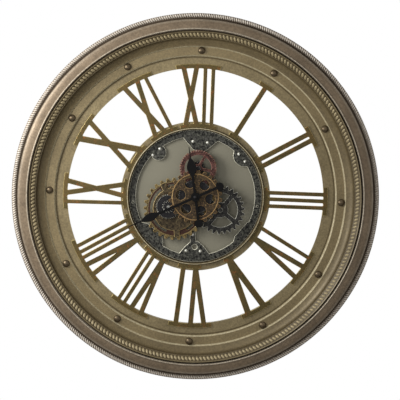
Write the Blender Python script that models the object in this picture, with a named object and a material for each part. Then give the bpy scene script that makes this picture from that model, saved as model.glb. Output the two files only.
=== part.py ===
"""A gear wall clock: a turned and beaded frame, cut-out Roman numerals that carry an open hub, and a train of
toothed wheels that turns in the hub behind the two hands.

Sizes are in metres. X is to the right, Z is up and the clock faces -Y. Depth is measured forwards from the
wall, so a depth d lies at Y = -d. The origin is the point of the hanger that bears on the wall's hook. Angles
named "clock" run clockwise from XII, in degrees.
"""

import math

import bmesh
import bpy
from mathutils import Matrix, Vector
from mathutils.geometry import delaunay_2d_cdt

# Fits
FIT = 0.0003
RUNNING_GAP = 0.0004
LAYER_GAP = 0.0009
HANDS_GAP = 0.0018

# Roundness: steps in a full turn
RING_STEPS = 48
ROUND_STEPS = 24
SMALL_STEPS = 12
HEAD_STEPS = 8

# Frame widths, outwards from the dial's opening
OPENING_RADIUS = 0.2095
BAND_WIDTH = 0.0185
DISH_WIDTH = 0.0185
COVE_WIDTH = 0.0135
ROPE_WIDTH = 0.0110
GROOVE_WIDTH = 0.0020
FILLET_WIDTH = 0.0032
BELLY_WIDTH = 0.0146
OUTER_GROOVE_WIDTH = 0.0018
BEAD_WIDTH = 0.0074
BEAD_OVERHANG = 0.0012

# Frame heights, forwards from the wall
PAD_THICKNESS = 0.0030
BOARD_THICKNESS = 0.0030
SHEET = 0.0016
BAND_DEPTH = 0.0280
DISH_LIP = 0.0046
DISH_RISE = 0.0012
STEP_RISE = 0.0034
DISH_STEP_SLOPE = 0.0032
COVE_STEP_SLOPE = 0.0022
COVE_RISE = 0.0103
COVE_FULLNESS = 0.8
SHELF_THICKNESS = 0.0022
ROPE_HEIGHT = 0.0075
SHOULDER_RISE = 0.0060
GROOVE_DEPTH = 0.0055
FILLET_RISE = 0.0020
BELLY_DROP = 0.0085
BELLY_FULLNESS = 0.7
OUTER_GROOVE_DEPTH = 0.0045
BEAD_HEIGHT = 0.0042
SKIRT_THICKNESS = 0.0025
RIM_WALL = 0.0036
COVE_FLANGE = 0.0055
DISH_SUPPORT = 0.0160

# Rivets on the dish
RIVET_COUNT = 12
RIVET_RADIUS = 0.0062
RIVET_HEIGHT = 0.0044
RIVET_PLACE = 0.6

# Hanger and wall pads
HANGER_WIDTH = 0.0340
HANGER_HEIGHT = 0.0460
HANGER_THICKNESS = 0.0015
KEYHOLE_RADIUS = 0.0050
KEYHOLE_SLOT = 0.0044
KEYHOLE_DROP = 0.0120
HOOK_INSET = 0.0270
HANGER_WINDOW_MARGIN = 0.0080
HANGER_SCREW_RADIUS = 0.0030
HANGER_SCREW_HEAD = 0.0009
HANGER_SCREW_INSET = 0.0045
PAD_RADIUS = 0.0080
PAD_INSET = 0.0120
PAD_CLOCK_ANGLE = 30.0

# Hub
HUB_BORE = 0.1095
HUB_WALL = 0.0035
HUB_FLANGE_WIDTH = 0.0094
HUB_LIP_RISE = 0.0055
HUB_LIP_ROLL = 0.0010
HUB_FLOOR_SETBACK = 0.0060
HUB_SHELF_WIDTH = 0.0060
FLOOR_THICKNESS = 0.0015
PLATE_RING_WIDTH = 0.0115
PLATE_SPACER = 0.0028
SPACER_RADIUS = 0.0035
SCREW_RADIUS = 0.0031
SCREW_HEAD = 0.0015
STUD_RADIUS = 0.0030
STUD_HEIGHT = 0.0034

# Spots on the gear plate, each a distance in from its edge and a clock angle
PLATE_SCREWS = (
    (0.0189, -5.1),
    (0.0189, 10.2),
    (0.0119, -39.3),
    (0.0119, -48.5),
    (0.0099, 43.4),
    (0.0099, 52.5),
    (0.0179, 172.6),
    (0.0179, 187.3),
    (0.0059, 97.0),
    (0.0059, 262.0),
)
PLATE_STUD = (0.0458, 181.7)
TOWER_HOLE = (0.0252, 178.4)
TOWER_HOLE_RADIUS = 0.0041
PLATE_EAR = (0.0154, -42.7)
PLATE_EAR_RADIUS = 0.0131
PLATE_NECK = ((0.0489, 181.7), (0.0289, 180.2))
PLATE_NECK_WIDTH = 0.0098

# Each lobe of the gear plate: the clock angles at which it leaves and rejoins the ring, and its corners
PLATE_LOBES = (
    (-16.0, 21.8, ((0.0320, -5.7), (0.0351, -1.5), (0.0351, 7.3), (0.0320, 11.5))),
    (36.0, 59.6, ((0.0194, 40.7), (0.0228, 45.0), (0.0228, 50.6), (0.0194, 54.9))),
    (108.0, 140.0, ((0.0139, 115.0), (0.0166, 133.0), (0.0129, 137.0))),
    (162.7, 194.8, ((0.0263, 168.4), (0.0351, 174.7), (0.0332, 184.1), (0.0239, 189.5))),
    (244.0, 209.0, ((0.0193, 237.4), (0.0239, 217.0), (0.0159, 212.0))),
)

# Numerals: serif strips lie on the band and on the hub's flange
NUMERAL_THICKNESS = 0.0020
OUTER_SERIF_WIDTH = 0.0072
INNER_SERIF_WIDTH = 0.0062
OUTER_SERIF_OVERHANG = 0.0080
INNER_SERIF_OVERHANG = 0.0052
HEAVY_STROKE = 0.0102
WIDE_STROKE = 0.0082
THIN_STROKE = 0.0064

# Each numeral's strokes: where the middle of a stroke meets the outer and the inner serif, measured
# sideways from the numeral's own radius, and how wide it is
NUMERAL_STROKES = {
    1: ((0.001, 0.001, WIDE_STROKE),),
    2: ((-0.005, -0.005, WIDE_STROKE), (0.0065, 0.007, WIDE_STROKE)),
    3: ((-0.0115, -0.011, THIN_STROKE), (-0.0005, -0.0005, THIN_STROKE), (0.0105, 0.011, THIN_STROKE)),
    4: ((-0.014, -0.014, THIN_STROKE), (0.003, 0.0065, WIDE_STROKE), (0.025, 0.0065, WIDE_STROKE)),
    5: ((-0.0165, -0.001, HEAVY_STROKE), (0.0125, -0.001, HEAVY_STROKE)),
    6: ((-0.0235, -0.0055, WIDE_STROKE), (-0.001, -0.0055, WIDE_STROKE), (0.0235, 0.0145, WIDE_STROKE)),
    7: (
        (-0.0285, -0.0115, WIDE_STROKE),
        (-0.010, -0.0115, WIDE_STROKE),
        (0.0045, 0.005, THIN_STROKE),
        (0.0155, 0.016, THIN_STROKE),
    ),
    8: (
        (-0.037, -0.019, WIDE_STROKE),
        (-0.0175, -0.019, WIDE_STROKE),
        (-0.0045, -0.0025, THIN_STROKE),
        (0.0055, 0.007, THIN_STROKE),
        (0.0165, 0.0175, THIN_STROKE),
    ),
    9: ((-0.0175, -0.016, THIN_STROKE), (-0.0035, 0.0145, WIDE_STROKE), (0.0175, -0.0045, WIDE_STROKE)),
    10: ((-0.023, 0.0165, HEAVY_STROKE), (0.011, -0.0165, WIDE_STROKE)),
    11: ((-0.0215, 0.0045, WIDE_STROKE), (0.0035, -0.0125, WIDE_STROKE), (0.0175, 0.017, THIN_STROKE)),
    12: (
        (-0.029, -0.003, WIDE_STROKE),
        (-0.0065, -0.021, WIDE_STROKE),
        (0.0075, 0.0085, THIN_STROKE),
        (0.0205, 0.021, THIN_STROKE),
    ),
}

# Wheel train: module, teeth and thickness of each wheel. Its tip and root follow from these.
TOOTH_ADDENDUM = 0.8
TOOTH_DEDENDUM = 1.05
TOOTH_BACKLASH = 0.18
TOOTH_FLANK_SLOPE = 0.42
BLUNT_FLANK_SLOPE = 0.22
DRIVE_MODULE = 0.0015
DRIVE_TEETH = 48
PINION_TEETH = 14
DRIVE_THICKNESS = 0.0028
COARSE_MODULE = 0.003418
LEFT_TEETH = 29
COARSE_TEETH = 16
COARSE_THICKNESS = 0.0030
RIGHT_TEETH = 26
RIGHT_MODULE = 0.00292
TOP_TEETH = 44
TOP_MODULE = 0.00133
FINE_THICKNESS = 0.0030
CENTRE_FINE_TEETH = 56
SMALL_TEETH = 40
SMALL_MODULE = 0.000981
SMALL_THICKNESS = 0.0020
SMALL_PINION_TEETH = 12
SMALL_PINION_MODULE = 0.00151
SMALL_PINION_THICKNESS = 0.0020
CENTRE_TEETH = 24
CENTRE_MODULE = 0.00342
CENTRE_THICKNESS = 0.0030

# Openings cut in the wheels
TOP_RIM_WIDTH = 0.0058
TOP_HUB_RADIUS = 0.0070
TOP_SPOKES = 5
TOP_SPOKE_WIDTH = 0.0042
RIGHT_RIM_WIDTH = 0.0066
RIGHT_HUB_RADIUS = 0.0130
RIGHT_SPOKES = 4
RIGHT_SPOKE_WIDTH = 0.0075
CENTRE_HOLE_RADIUS = 0.0085
CENTRE_HOLE_CIRCLE = 0.0245
CENTRE_HOLES = 6
LEFT_RING_WIDTH = 0.0019
KEEPER_RADIUS = 0.0360
KEEPER_THICKNESS = 0.0016
TAB_OVERLAP = 0.0024
TAB_ROOT = 0.0036
TAB_WIDTH = 0.0090
CARRIER_RIM_WIDTH = 0.0029
CARRIER_SLOT_WIDTH = 0.0044
LEG_RADIUS = 0.0030

# Where the wheels stand, as directions anticlockwise from +X around the centre arbor
TOP_DIRECTION = 87.0
RIGHT_DIRECTION = -25.7
MOTOR_DIRECTION = -117.5
SMALL_DIRECTION = 202.6

# The left wheel's centre, as a direction from the top wheel's centre
LEFT_DIRECTION = 242.8

# How the visible teeth and windows lie at rest, anticlockwise from +X
CENTRE_TOOTH_ANGLE = 10.5
CENTRE_HOLE_ANGLE = 54.5
LEFT_TOOTH_ANGLE = 267.5
RIGHT_TOOTH_ANGLE = 324.5
RIGHT_SPOKE_ANGLE = 52.5
TOP_SPOKE_ANGLE = 62.7
TAB_ANGLES = (118.0, 201.0, 277.0)
CARRIER_SLOTS = ((128.0, 191.0), (211.0, 252.0), (302.0, 322.0), (94.0, 109.0))
LEG_SPOTS = ((-0.0262, 0.0150), (-0.0310, -0.0060), (-0.0200, -0.0290))

# Arbors and tubes
MINUTE_SHAFT_RADIUS = 0.0012
HOUR_TUBE_WALL = 0.0006
BUSH_WALL = 0.0006
SLEEVE_WALL = 0.0007
SHOULDER_RADIUS = 0.0060
POST_RADIUS = 0.0022
POST_HEAD_RADIUS = 0.0040
POST_HEAD_HEIGHT = 0.0012
POST_FOOT_HEIGHT = 0.0016
MOTOR_SHAFT_RADIUS = 0.0015
NUT_HEIGHT = 0.0010
NUT_RIM = 0.0018

# Hands
HOUR_CLOCK_ANGLE = 350.3
MINUTE_CLOCK_ANGLE = 243.6
HAND_THICKNESS = 0.0010
HOUR_LENGTH = 0.0830
HOUR_LEAF_WIDTH = 0.0155
HOUR_LEAF_START = 0.0340
HOUR_LEAF_MIDDLE = 0.0490
HOUR_LEAF_END = 0.0640
MINUTE_LENGTH = 0.1210
MINUTE_LEAF_WIDTH = 0.0130
MINUTE_LEAF_START = 0.0660
MINUTE_LEAF_MIDDLE = 0.0810
MINUTE_LEAF_END = 0.0960
HAND_STEM_WIDTH = 0.0042
HAND_POINT_WIDTH = 0.0012
HAND_BOSS_RADIUS = 0.0075
TAIL_LENGTH = 0.0435
TAIL_BALL_RADIUS = 0.0068
CAP_RADIUS = 0.0036
CAP_HEIGHT = 0.0034

# Movement and gear motor, behind the hub's floor
MOVEMENT_SIDE = 0.0560
MOVEMENT_THICKNESS = 0.0158
MOTOR_WIDTH = 0.0640
MOTOR_HEIGHT = 0.0500
MOTOR_OFFSET = -0.0260
CASE_SPACING = 0.0030
BATTERY_RADIUS = 0.0071
BATTERY_LENGTH = 0.0500
BATTERY_NUB_RADIUS = 0.0027
BATTERY_NUB_LENGTH = 0.0015
BATTERY_INSET = 0.0095
KNOB_RADIUS = 0.0075
KNOB_THICKNESS = 0.0013

# Radii of the frame's steps, worked out from the widths
dish_inner = OPENING_RADIUS + BAND_WIDTH
dish_outer = dish_inner + DISH_WIDTH
cove_outer = dish_outer + COVE_WIDTH
rope_outer = cove_outer + ROPE_WIDTH
groove_outer = rope_outer + GROOVE_WIDTH
fillet_outer = groove_outer + FILLET_WIDTH
belly_outer = fillet_outer + BELLY_WIDTH
bead_inner = belly_outer + OUTER_GROOVE_WIDTH
rim_radius = bead_inner + BEAD_WIDTH
skirt_outer = rim_radius - BEAD_OVERHANG
skirt_inner = skirt_outer - SKIRT_THICKNESS

# Depths of the frame's steps
board_front = PAD_THICKNESS + BOARD_THICKNESS
dish_low = BAND_DEPTH + DISH_LIP
dish_high = dish_low + DISH_RISE
cove_low = dish_high + STEP_RISE
cove_high = cove_low + COVE_RISE
shelf_back = cove_high + FIT
shelf_front = shelf_back + SHELF_THICKNESS
shoulder_front = shelf_front + SHOULDER_RISE
fillet_front = shoulder_front + FILLET_RISE
belly_low = fillet_front - BELLY_DROP
bead_seat = belly_low - OUTER_GROOVE_DEPTH

# Depths in the hub, from its floor forwards through the wheels to the hands
hub_outer = HUB_BORE + HUB_WALL
flange_outer = hub_outer + HUB_FLANGE_WIDTH
plate_edge = HUB_BORE - FIT * 2
floor_back = BAND_DEPTH - HUB_FLOOR_SETBACK - FLOOR_THICKNESS
floor_front = floor_back + FLOOR_THICKNESS
plate_back = floor_front + PLATE_SPACER
plate_front = plate_back + SHEET
case_front = floor_back - FIT
drive_back = plate_front + LAYER_GAP
drive_front = drive_back + DRIVE_THICKNESS
coarse_back = drive_front + LAYER_GAP
coarse_front = coarse_back + COARSE_THICKNESS
keeper_back = coarse_front + FIT
keeper_front = keeper_back + KEEPER_THICKNESS
fine_back = coarse_front + LAYER_GAP
fine_front = fine_back + FINE_THICKNESS
small_back = fine_front + LAYER_GAP
small_front = small_back + SMALL_THICKNESS
small_pinion_front = small_front + FIT + SMALL_PINION_THICKNESS
centre_back = small_pinion_front + LAYER_GAP
centre_front = centre_back + CENTRE_THICKNESS
sleeve_back = drive_back - FIT
sleeve_front = centre_front + FIT
nut_front = sleeve_front + FIT + NUT_HEIGHT
hour_back = nut_front + LAYER_GAP
hour_front = hour_back + HAND_THICKNESS
minute_back = hour_front + HANDS_GAP
minute_front = minute_back + HAND_THICKNESS

# Radii of the concentric tubes at the centre
hour_tube_bore = MINUTE_SHAFT_RADIUS + FIT
hour_tube_outer = hour_tube_bore + HOUR_TUBE_WALL
bush_bore = hour_tube_outer + FIT
bush_outer = bush_bore + BUSH_WALL
sleeve_bore = bush_outer + FIT
sleeve_outer = sleeve_bore + SLEEVE_WALL
wheel_seat = sleeve_outer + FIT

# Height of the dial's centre under the hook
hook_radius = skirt_outer - HOOK_INSET

# Depths and places that the movement, the motor and their cells share
case_back = case_front - MOVEMENT_THICKNESS
tube_back = case_front - MOVEMENT_THICKNESS / 2
motor_low = -MOVEMENT_SIDE / 2 - CASE_SPACING - MOTOR_HEIGHT
movement_bay = (0.0, BATTERY_INSET - MOVEMENT_SIDE / 2)
motor_bay = (MOTOR_OFFSET, BATTERY_INSET + motor_low)


def polar(radius, degrees):
    """A point (x, z) on the dial, with the angle anticlockwise from +X."""
    angle = math.radians(degrees % 360.0)
    return Vector((radius * math.cos(angle), radius * math.sin(angle)))


def meshed_angle(driver_angle, driver_teeth, teeth, direction):
    """Where a wheel has a tooth centre, so that it meshes with its neighbour in that direction."""
    return direction + 180.0 - (driver_angle - direction) * driver_teeth / teeth + 180.0 / teeth


def root_radius(teeth, module):
    """The radius at the foot of a wheel's teeth."""
    return module * (teeth / 2 - TOOTH_DEDENDUM)


def tip_radius(teeth, module):
    """The radius over a wheel's teeth."""
    return module * (teeth / 2 + TOOTH_ADDENDUM)


# Centres of the wheels, each at the distance at which its teeth mesh
pinion_distance = DRIVE_MODULE * (DRIVE_TEETH + PINION_TEETH) / 2
top_spot = polar(pinion_distance, TOP_DIRECTION)
right_spot = polar(pinion_distance, RIGHT_DIRECTION)
motor_spot = polar(pinion_distance, MOTOR_DIRECTION)
small_spot = polar(SMALL_MODULE * (CENTRE_FINE_TEETH + SMALL_TEETH) / 2, SMALL_DIRECTION)
left_spot = top_spot + polar(COARSE_MODULE * (LEFT_TEETH + COARSE_TEETH) / 2, LEFT_DIRECTION)
left_bore = root_radius(LEFT_TEETH, COARSE_MODULE) - LEFT_RING_WIDTH

# Tooth angles at rest, worked out from wheel to wheel so that meshing teeth stand in each other's gaps
drive_angle = 0.0
fine_angle = 0.0
top_pinion_angle = meshed_angle(drive_angle, DRIVE_TEETH, PINION_TEETH, TOP_DIRECTION)
right_pinion_angle = meshed_angle(drive_angle, DRIVE_TEETH, PINION_TEETH, RIGHT_DIRECTION)
motor_pinion_angle = meshed_angle(drive_angle, DRIVE_TEETH, PINION_TEETH, MOTOR_DIRECTION)
small_angle = meshed_angle(fine_angle, CENTRE_FINE_TEETH, SMALL_TEETH, SMALL_DIRECTION)
coarse_angle = meshed_angle(LEFT_TOOTH_ANGLE, LEFT_TEETH, COARSE_TEETH, LEFT_DIRECTION + 180.0)


def clear_scene():
    """Take every object out of the file's scene."""
    for item in list(bpy.data.objects):
        bpy.data.objects.remove(item, do_unlink=True)


def material(name, colour, roughness, metallic):
    """A Principled material with a plain colour."""
    made = bpy.data.materials.new(name)
    made.use_nodes = True
    shader = made.node_tree.nodes["Principled BSDF"]
    shader.inputs["Base Color"].default_value = (*colour, 1.0)
    shader.inputs["Roughness"].default_value = roughness
    shader.inputs["Metallic"].default_value = metallic
    return made


def clock_point(radius, degrees):
    """A point (x, z) on the dial, with the angle clockwise from XII."""
    return polar(radius, 90.0 - degrees)


def circle(radius, centre=(0.0, 0.0), steps=ROUND_STEPS):
    """The outline of a round."""
    return [Vector(centre) + polar(radius, 360.0 * step / steps) for step in range(steps)]


def arc(radius, first, last, steps):
    """Points along an arc round the origin, both ends included."""
    return [polar(radius, first + (last - first) * step / steps) for step in range(steps + 1)]


def ring_sector(inner, outer, first, last, steps):
    """The outline of a piece of a ring between two angles."""
    return arc(outer, first, last, steps) + arc(inner, last, first, steps)


def bar(start, end, width):
    """The outline of a straight bar from one point to another."""
    start = Vector(start)
    end = Vector(end)
    along = (end - start).normalized()
    side = Vector((-along.y, along.x)) * width / 2
    return [start - side, end - side, end + side, start + side]


def inside(point, outline):
    """Whether a point lies in a closed outline."""
    found = False
    last = outline[-1]
    for corner in outline:
        if (corner[1] > point[1]) != (last[1] > point[1]):
            crossing = last[0] + (point[1] - last[1]) * (corner[0] - last[0]) / (corner[1] - last[1])
            if point[0] < crossing:
                found = not found
        last = corner
    return found


def place(name, mesh, look, centre=(0.0, 0.0)):
    """Make an object of a mesh, with its origin at a point of the dial."""
    mesh.materials.append(look)
    made = bpy.data.objects.new(name, mesh)
    bpy.context.scene.collection.objects.link(made)
    made.parent = dial_centre
    made.location = (centre[0], 0.0, centre[1])
    return made


def finish(form, name):
    """Turn a bmesh into a smooth-shaded mesh with sharp corners."""
    bmesh.ops.recalc_face_normals(form, faces=form.faces)
    mesh = bpy.data.meshes.new(name)
    form.to_mesh(mesh)
    form.free()
    mesh.shade_smooth()
    mesh.set_sharp_from_angle(angle=math.radians(30))
    return mesh


def add_sheet(form, solids, holes, back, front):
    """Add a flat plate between two depths: the union of the solid outlines less the holes."""
    outlines = solids + holes
    points = [point for outline in outlines for point in outline]
    faces = []
    for outline in outlines:
        first = sum(len(face) for face in faces)
        faces.append(list(range(first, first + len(outline))))
    spots, _, triangles, *_ = delaunay_2d_cdt(points, [], faces, 0, 2e-6)
    corners = [form.verts.new((spot.x, -back, spot.y)) for spot in spots]
    kept = []
    for triangle in triangles:
        middle = sum((spots[index] for index in triangle), Vector((0.0, 0.0))) / 3
        if any(inside(middle, hole) for hole in holes):
            continue
        if any(inside(middle, solid) for solid in solids):
            kept.append(form.faces.new([corners[index] for index in triangle]))
    for corner in corners:
        if not corner.link_faces:
            form.verts.remove(corner)
    bmesh.ops.dissolve_limit(
        form,
        angle_limit=1e-4,
        verts=list({corner for face in kept for corner in face.verts}),
        edges=list({edge for face in kept for edge in face.edges}),
    )
    kept = [face for face in form.faces if all(abs(corner.co.y + back) < 1e-7 for corner in face.verts)]
    raised = bmesh.ops.extrude_face_region(form, geom=kept, use_keep_orig=True)
    moved = [item for item in raised["geom"] if isinstance(item, bmesh.types.BMVert)]
    bmesh.ops.translate(form, verts=moved, vec=(0.0, back - front, 0.0))


def combine(target, form, operation):
    """Join a shape to an object, or cut it out, with the shape kept as a hidden helper."""
    name = f"{target.name}_{operation.lower()}"
    helper = bpy.data.objects.new(name, finish(form, name))
    bpy.context.scene.collection.objects.link(helper)
    helper.parent = dial_centre
    helper.location = target.location
    helper.hide_render = True
    helper.display_type = "WIRE"
    change = target.modifiers.new(operation.lower(), "BOOLEAN")
    change.operation = operation
    change.solver = "EXACT"
    change.object = helper


def sheet(name, look, solids, holes, back, front, centre=(0.0, 0.0)):
    """An object cut from flat plate, with its outlines around its own centre."""
    form = bmesh.new()
    add_sheet(form, solids, holes, back, front)
    return place(name, finish(form, name), look, centre)


def add_turned(form, profile, steps, closed=True, centre=(0.0, 0.0)):
    """Add a turned shape: a profile of (radius, depth) spun round an axis along Y."""
    corners = [form.verts.new((centre[0] + radius, -depth, centre[1])) for radius, depth in profile]
    ends = corners[1:] + corners[:1] if closed else corners[1:]
    edges = [form.edges.new(pair) for pair in zip(corners, ends)]
    bmesh.ops.spin(
        form,
        geom=corners + edges,
        cent=(centre[0], 0.0, centre[1]),
        axis=(0.0, 1.0, 0.0),
        angle=math.tau,
        steps=steps,
        use_merge=True,
    )
    bmesh.ops.remove_doubles(form, verts=form.verts, dist=1e-7)


def turned(name, look, profile, steps=RING_STEPS, closed=True, centre=(0.0, 0.0)):
    """A turned object. An open profile starts and ends on its axis."""
    form = bmesh.new()
    add_turned(form, profile, steps, closed)
    return place(name, finish(form, name), look, centre)


def tube(inner, outer, back, front):
    """The profile of a tube."""
    return [(inner, back), (inner, front), (outer, front), (outer, back)]


def rod(radius, back, front):
    """The open profile of a plain round rod."""
    return [(0.0, back), (radius, back), (radius, front), (0.0, front)]


def dome(radius, height, base, steps):
    """The open profile of a low dome on a flat base."""
    rise = [math.radians(90.0 * step / steps) for step in range(steps)]
    curve = [(radius * math.cos(angle), base + height * math.sin(angle)) for angle in rise]
    return [(0.0, base)] + curve + [(0.0, base + height)]


def wheel_outline(teeth, module, tooth_angle, flank_slope=TOOTH_FLANK_SLOPE):
    """A toothed wheel's outline, with a tooth centred on tooth_angle."""
    pitch = module * teeth / 2
    half = module * (math.pi / 4 - TOOTH_BACKLASH / 2)
    outline = []
    for tooth in range(teeth):
        middle = tooth_angle + 360.0 * tooth / teeth
        for side, radius in ((-1, root_radius(teeth, module)), (-1, tip_radius(teeth, module))):
            width = half - (radius - pitch) * flank_slope
            outline.append(polar(radius, middle + side * math.degrees(width / radius)))
        for side, radius in ((1, tip_radius(teeth, module)), (1, root_radius(teeth, module))):
            width = half - (radius - pitch) * flank_slope
            outline.append(polar(radius, middle + side * math.degrees(width / radius)))
    return outline


def spoke_windows(hub, rim, spokes, width, spoke_angle):
    """The windows between a wheel's spokes."""
    windows = []
    for spoke in range(spokes):
        first = spoke_angle + 360.0 * spoke / spokes
        last = first + 360.0 / spokes
        at_rim = math.degrees(width / 2 / rim)
        at_hub = math.degrees(width / 2 / hub)
        outer = arc(rim, first + at_rim, last - at_rim, 5)
        inner = arc(hub, last - at_hub, first + at_hub, 2)
        windows.append(outer + inner)
    return windows


# Frame


def make_board(look):
    """The flat board that closes the hollow frame at the back, with a window behind the hanger's keyhole."""
    outer = circle(skirt_inner - FIT, steps=RING_STEPS)
    opening = circle(OPENING_RADIUS, steps=RING_STEPS)
    low = hook_radius - KEYHOLE_DROP - HANGER_WINDOW_MARGIN
    high = hook_radius + HANGER_WINDOW_MARGIN
    half = HANGER_WIDTH / 2 - HANGER_WINDOW_MARGIN
    window = [Vector((-half, low)), Vector((half, low)), Vector((half, high)), Vector((-half, high))]
    sheet("back_board", look, [outer], [opening, window], PAD_THICKNESS, board_front)


def make_inner_ring(look):
    """The wall of the opening and the flat band that carries the numerals' outer serifs."""
    back = board_front + FIT
    outer = dish_inner + DISH_SUPPORT
    profile = [
        (OPENING_RADIUS, back),
        (OPENING_RADIUS, BAND_DEPTH),
        (outer, BAND_DEPTH),
        (outer, BAND_DEPTH - SHEET),
        (OPENING_RADIUS + SHEET, BAND_DEPTH - SHEET),
        (OPENING_RADIUS + SHEET, back),
    ]
    turned("inner_band_ring", look, profile)


def cove_curve(offset):
    """The cove's hollow curve, or a copy of it a sheet's thickness behind."""
    steps = 3
    points = []
    for step in range(steps + 1):
        angle = math.radians(90.0 * step / steps)
        radius = dish_outer + offset / 2 + (COVE_WIDTH - FIT) * math.sin(angle) ** COVE_FULLNESS
        depth = cove_low - offset + COVE_RISE * (1 - math.cos(angle))
        points.append((radius, depth))
    return points


def make_cove_ring(look):
    """The riveted dish and the cove above it, pressed as one ring. Its flange lies under the rim's shelf."""
    low_step = dish_inner + DISH_STEP_SLOPE
    front = [(dish_inner, BAND_DEPTH + FIT), (low_step, dish_low), (dish_outer - COVE_STEP_SLOPE, dish_high)]
    front += cove_curve(0.0)
    flange = [(cove_outer + COVE_FLANGE, cove_high), (cove_outer + COVE_FLANGE, cove_high - SHEET)]
    behind = cove_curve(SHEET)
    under = [(dish_outer + SHEET / 2, dish_high - SHEET), (low_step + SHEET, dish_low - SHEET / 2)]
    foot = [(dish_inner + SHEET, BAND_DEPTH + FIT)]
    add_rivets(turned("cove_ring", look, front + flange + behind[::-1] + under + foot))


def make_outer_rim(look):
    """The outer moulding: shelf, groove, fillet and rounded belly, and the skirt behind them."""
    inner = cove_outer + FIT
    groove = shoulder_front - GROOVE_DEPTH
    belly_steps = 3
    belly = []
    for step in range(1, belly_steps + 1):
        angle = math.radians(90.0 * step / belly_steps)
        radius = fillet_outer + BELLY_WIDTH * math.sin(angle) ** BELLY_FULLNESS
        across = max(0.0, math.cos(angle)) ** BELLY_FULLNESS
        belly.append((radius, belly_low + (BELLY_DROP - FILLET_RISE) * across))
    front = [
        (inner, shelf_back),
        (inner, shelf_front),
        (rope_outer + FIT, shelf_front),
        (rope_outer + FIT, groove),
        (groove_outer, groove),
        (groove_outer, shoulder_front),
        (groove_outer + FILLET_WIDTH / 2, fillet_front),
        (fillet_outer, shoulder_front),
    ]
    outside = [(belly_outer, bead_seat), (skirt_outer, bead_seat), (skirt_outer, PAD_THICKNESS)]
    flange_end = cove_outer + COVE_FLANGE + FIT
    under = [
        (skirt_inner, PAD_THICKNESS),
        (skirt_inner, bead_seat - RIM_WALL),
        (belly_outer - RIM_WALL, bead_seat - RIM_WALL),
        (fillet_outer, groove - RIM_WALL),
        (flange_end, groove - RIM_WALL),
        (flange_end, shelf_back),
    ]
    turned("outer_rim", look, front + belly + outside + under)


def half_round(inner, outer, base, height):
    """The profile of a half-round moulding on a flat base."""
    middle = (inner + outer) / 2
    reach = (outer - inner) / 2
    steps = 3
    rise = [math.radians(180.0 * step / steps) for step in range(steps + 1)]
    return [(middle + reach * math.cos(angle), base + height * math.sin(angle)) for angle in rise]


def leaning_round(inner, outer, base, height):
    """The profile of a moulding on a flat base, whose broad front rises outwards and so faces the dial."""
    width = outer - inner
    return [
        (inner, base),
        (inner, base + height * 0.15),
        (inner + width * 0.45, base + height * 0.62),
        (inner + width * 0.9, base + height),
        (outer, base + height * 0.9),
        (outer, base),
    ]


def make_bead_rings(rope_look, bead_look):
    """The two beaded trims as plain rings. The inner one leans, so its broad side faces the dial."""
    rope = leaning_round(cove_outer + FIT, rope_outer, shelf_front + FIT, ROPE_HEIGHT)
    turned("rope_bead_ring", rope_look, rope)
    outer = half_round(bead_inner, rim_radius, bead_seat + FIT, BEAD_HEIGHT)
    turned("outer_bead_ring", bead_look, outer)


def add_rivets(cove_ring):
    """Dome-headed rivets round the dish, one over each numeral, square to its slope and set in it."""
    slope = math.atan2(DISH_RISE, DISH_WIDTH)
    radius = dish_inner + DISH_WIDTH * RIVET_PLACE
    depth = dish_low + DISH_RISE * RIVET_PLACE
    seat = Matrix.Translation((0.0, -depth, radius)) @ Matrix.Rotation(slope, 4, "X")
    form = bmesh.new()
    for number in range(RIVET_COUNT):
        before = set(form.verts)
        add_turned(form, dome(RIVET_RADIUS, RIVET_HEIGHT, -SHEET / 2, 2), HEAD_STEPS, closed=False)
        head = [corner for corner in form.verts if corner not in before]
        turn = Matrix.Rotation(math.tau * number / RIVET_COUNT, 4, "Y")
        bmesh.ops.transform(form, matrix=turn @ seat, verts=head)
    combine(cove_ring, form, "UNION")


def make_hanger(look):
    """The keyhole plate on the back of the board, with its two screws."""
    back = PAD_THICKNESS - FIT - HANGER_THICKNESS
    slot = KEYHOLE_SLOT / 2
    low = hook_radius - KEYHOLE_DROP
    half = HANGER_WIDTH / 2
    bottom = hook_radius - KEYHOLE_DROP / 2 - HANGER_HEIGHT / 2
    top = bottom + HANGER_HEIGHT
    plate = [Vector((-half, bottom)), Vector((half, bottom)), Vector((half, top)), Vector((-half, top))]
    round_top = circle(slot, (0.0, hook_radius - slot), SMALL_STEPS)
    channel = bar((0.0, low), (0.0, hook_radius - slot), KEYHOLE_SLOT)
    entry = circle(KEYHOLE_RADIUS, (0.0, low), SMALL_STEPS)
    sheet("hanger_plate", look, [plate], [round_top, channel, entry], back, PAD_THICKNESS - FIT)
    head = rod(HANGER_SCREW_RADIUS, back - FIT - HANGER_SCREW_HEAD, back - FIT)
    places = (
        ("hanger_screw_upper", top - HANGER_SCREW_INSET),
        ("hanger_screw_lower", bottom + HANGER_SCREW_INSET),
    )
    for name, height in places:
        turned(name, look, head, SMALL_STEPS, closed=False, centre=(0.0, height))


def make_pads(look):
    """Two rubber pads at the bottom, which keep the back off the wall."""
    for name, clock in (("wall_pad_left", 180 + PAD_CLOCK_ANGLE), ("wall_pad_right", 180 - PAD_CLOCK_ANGLE)):
        spot = clock_point(skirt_inner - PAD_INSET, clock)
        turned(name, look, rod(PAD_RADIUS, 0.0, PAD_THICKNESS - FIT), SMALL_STEPS, closed=False, centre=spot)


# Numerals


def serif(first, last, inner, outer, number):
    """A serif strip that follows the ring it lies on, between two sideways distances."""
    middle = (inner + outer) / 2
    start = 90.0 - 30.0 * number - math.degrees(last / middle)
    end = 90.0 - 30.0 * number - math.degrees(first / middle)
    return ring_sector(inner, outer, start, end, 4)


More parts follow.
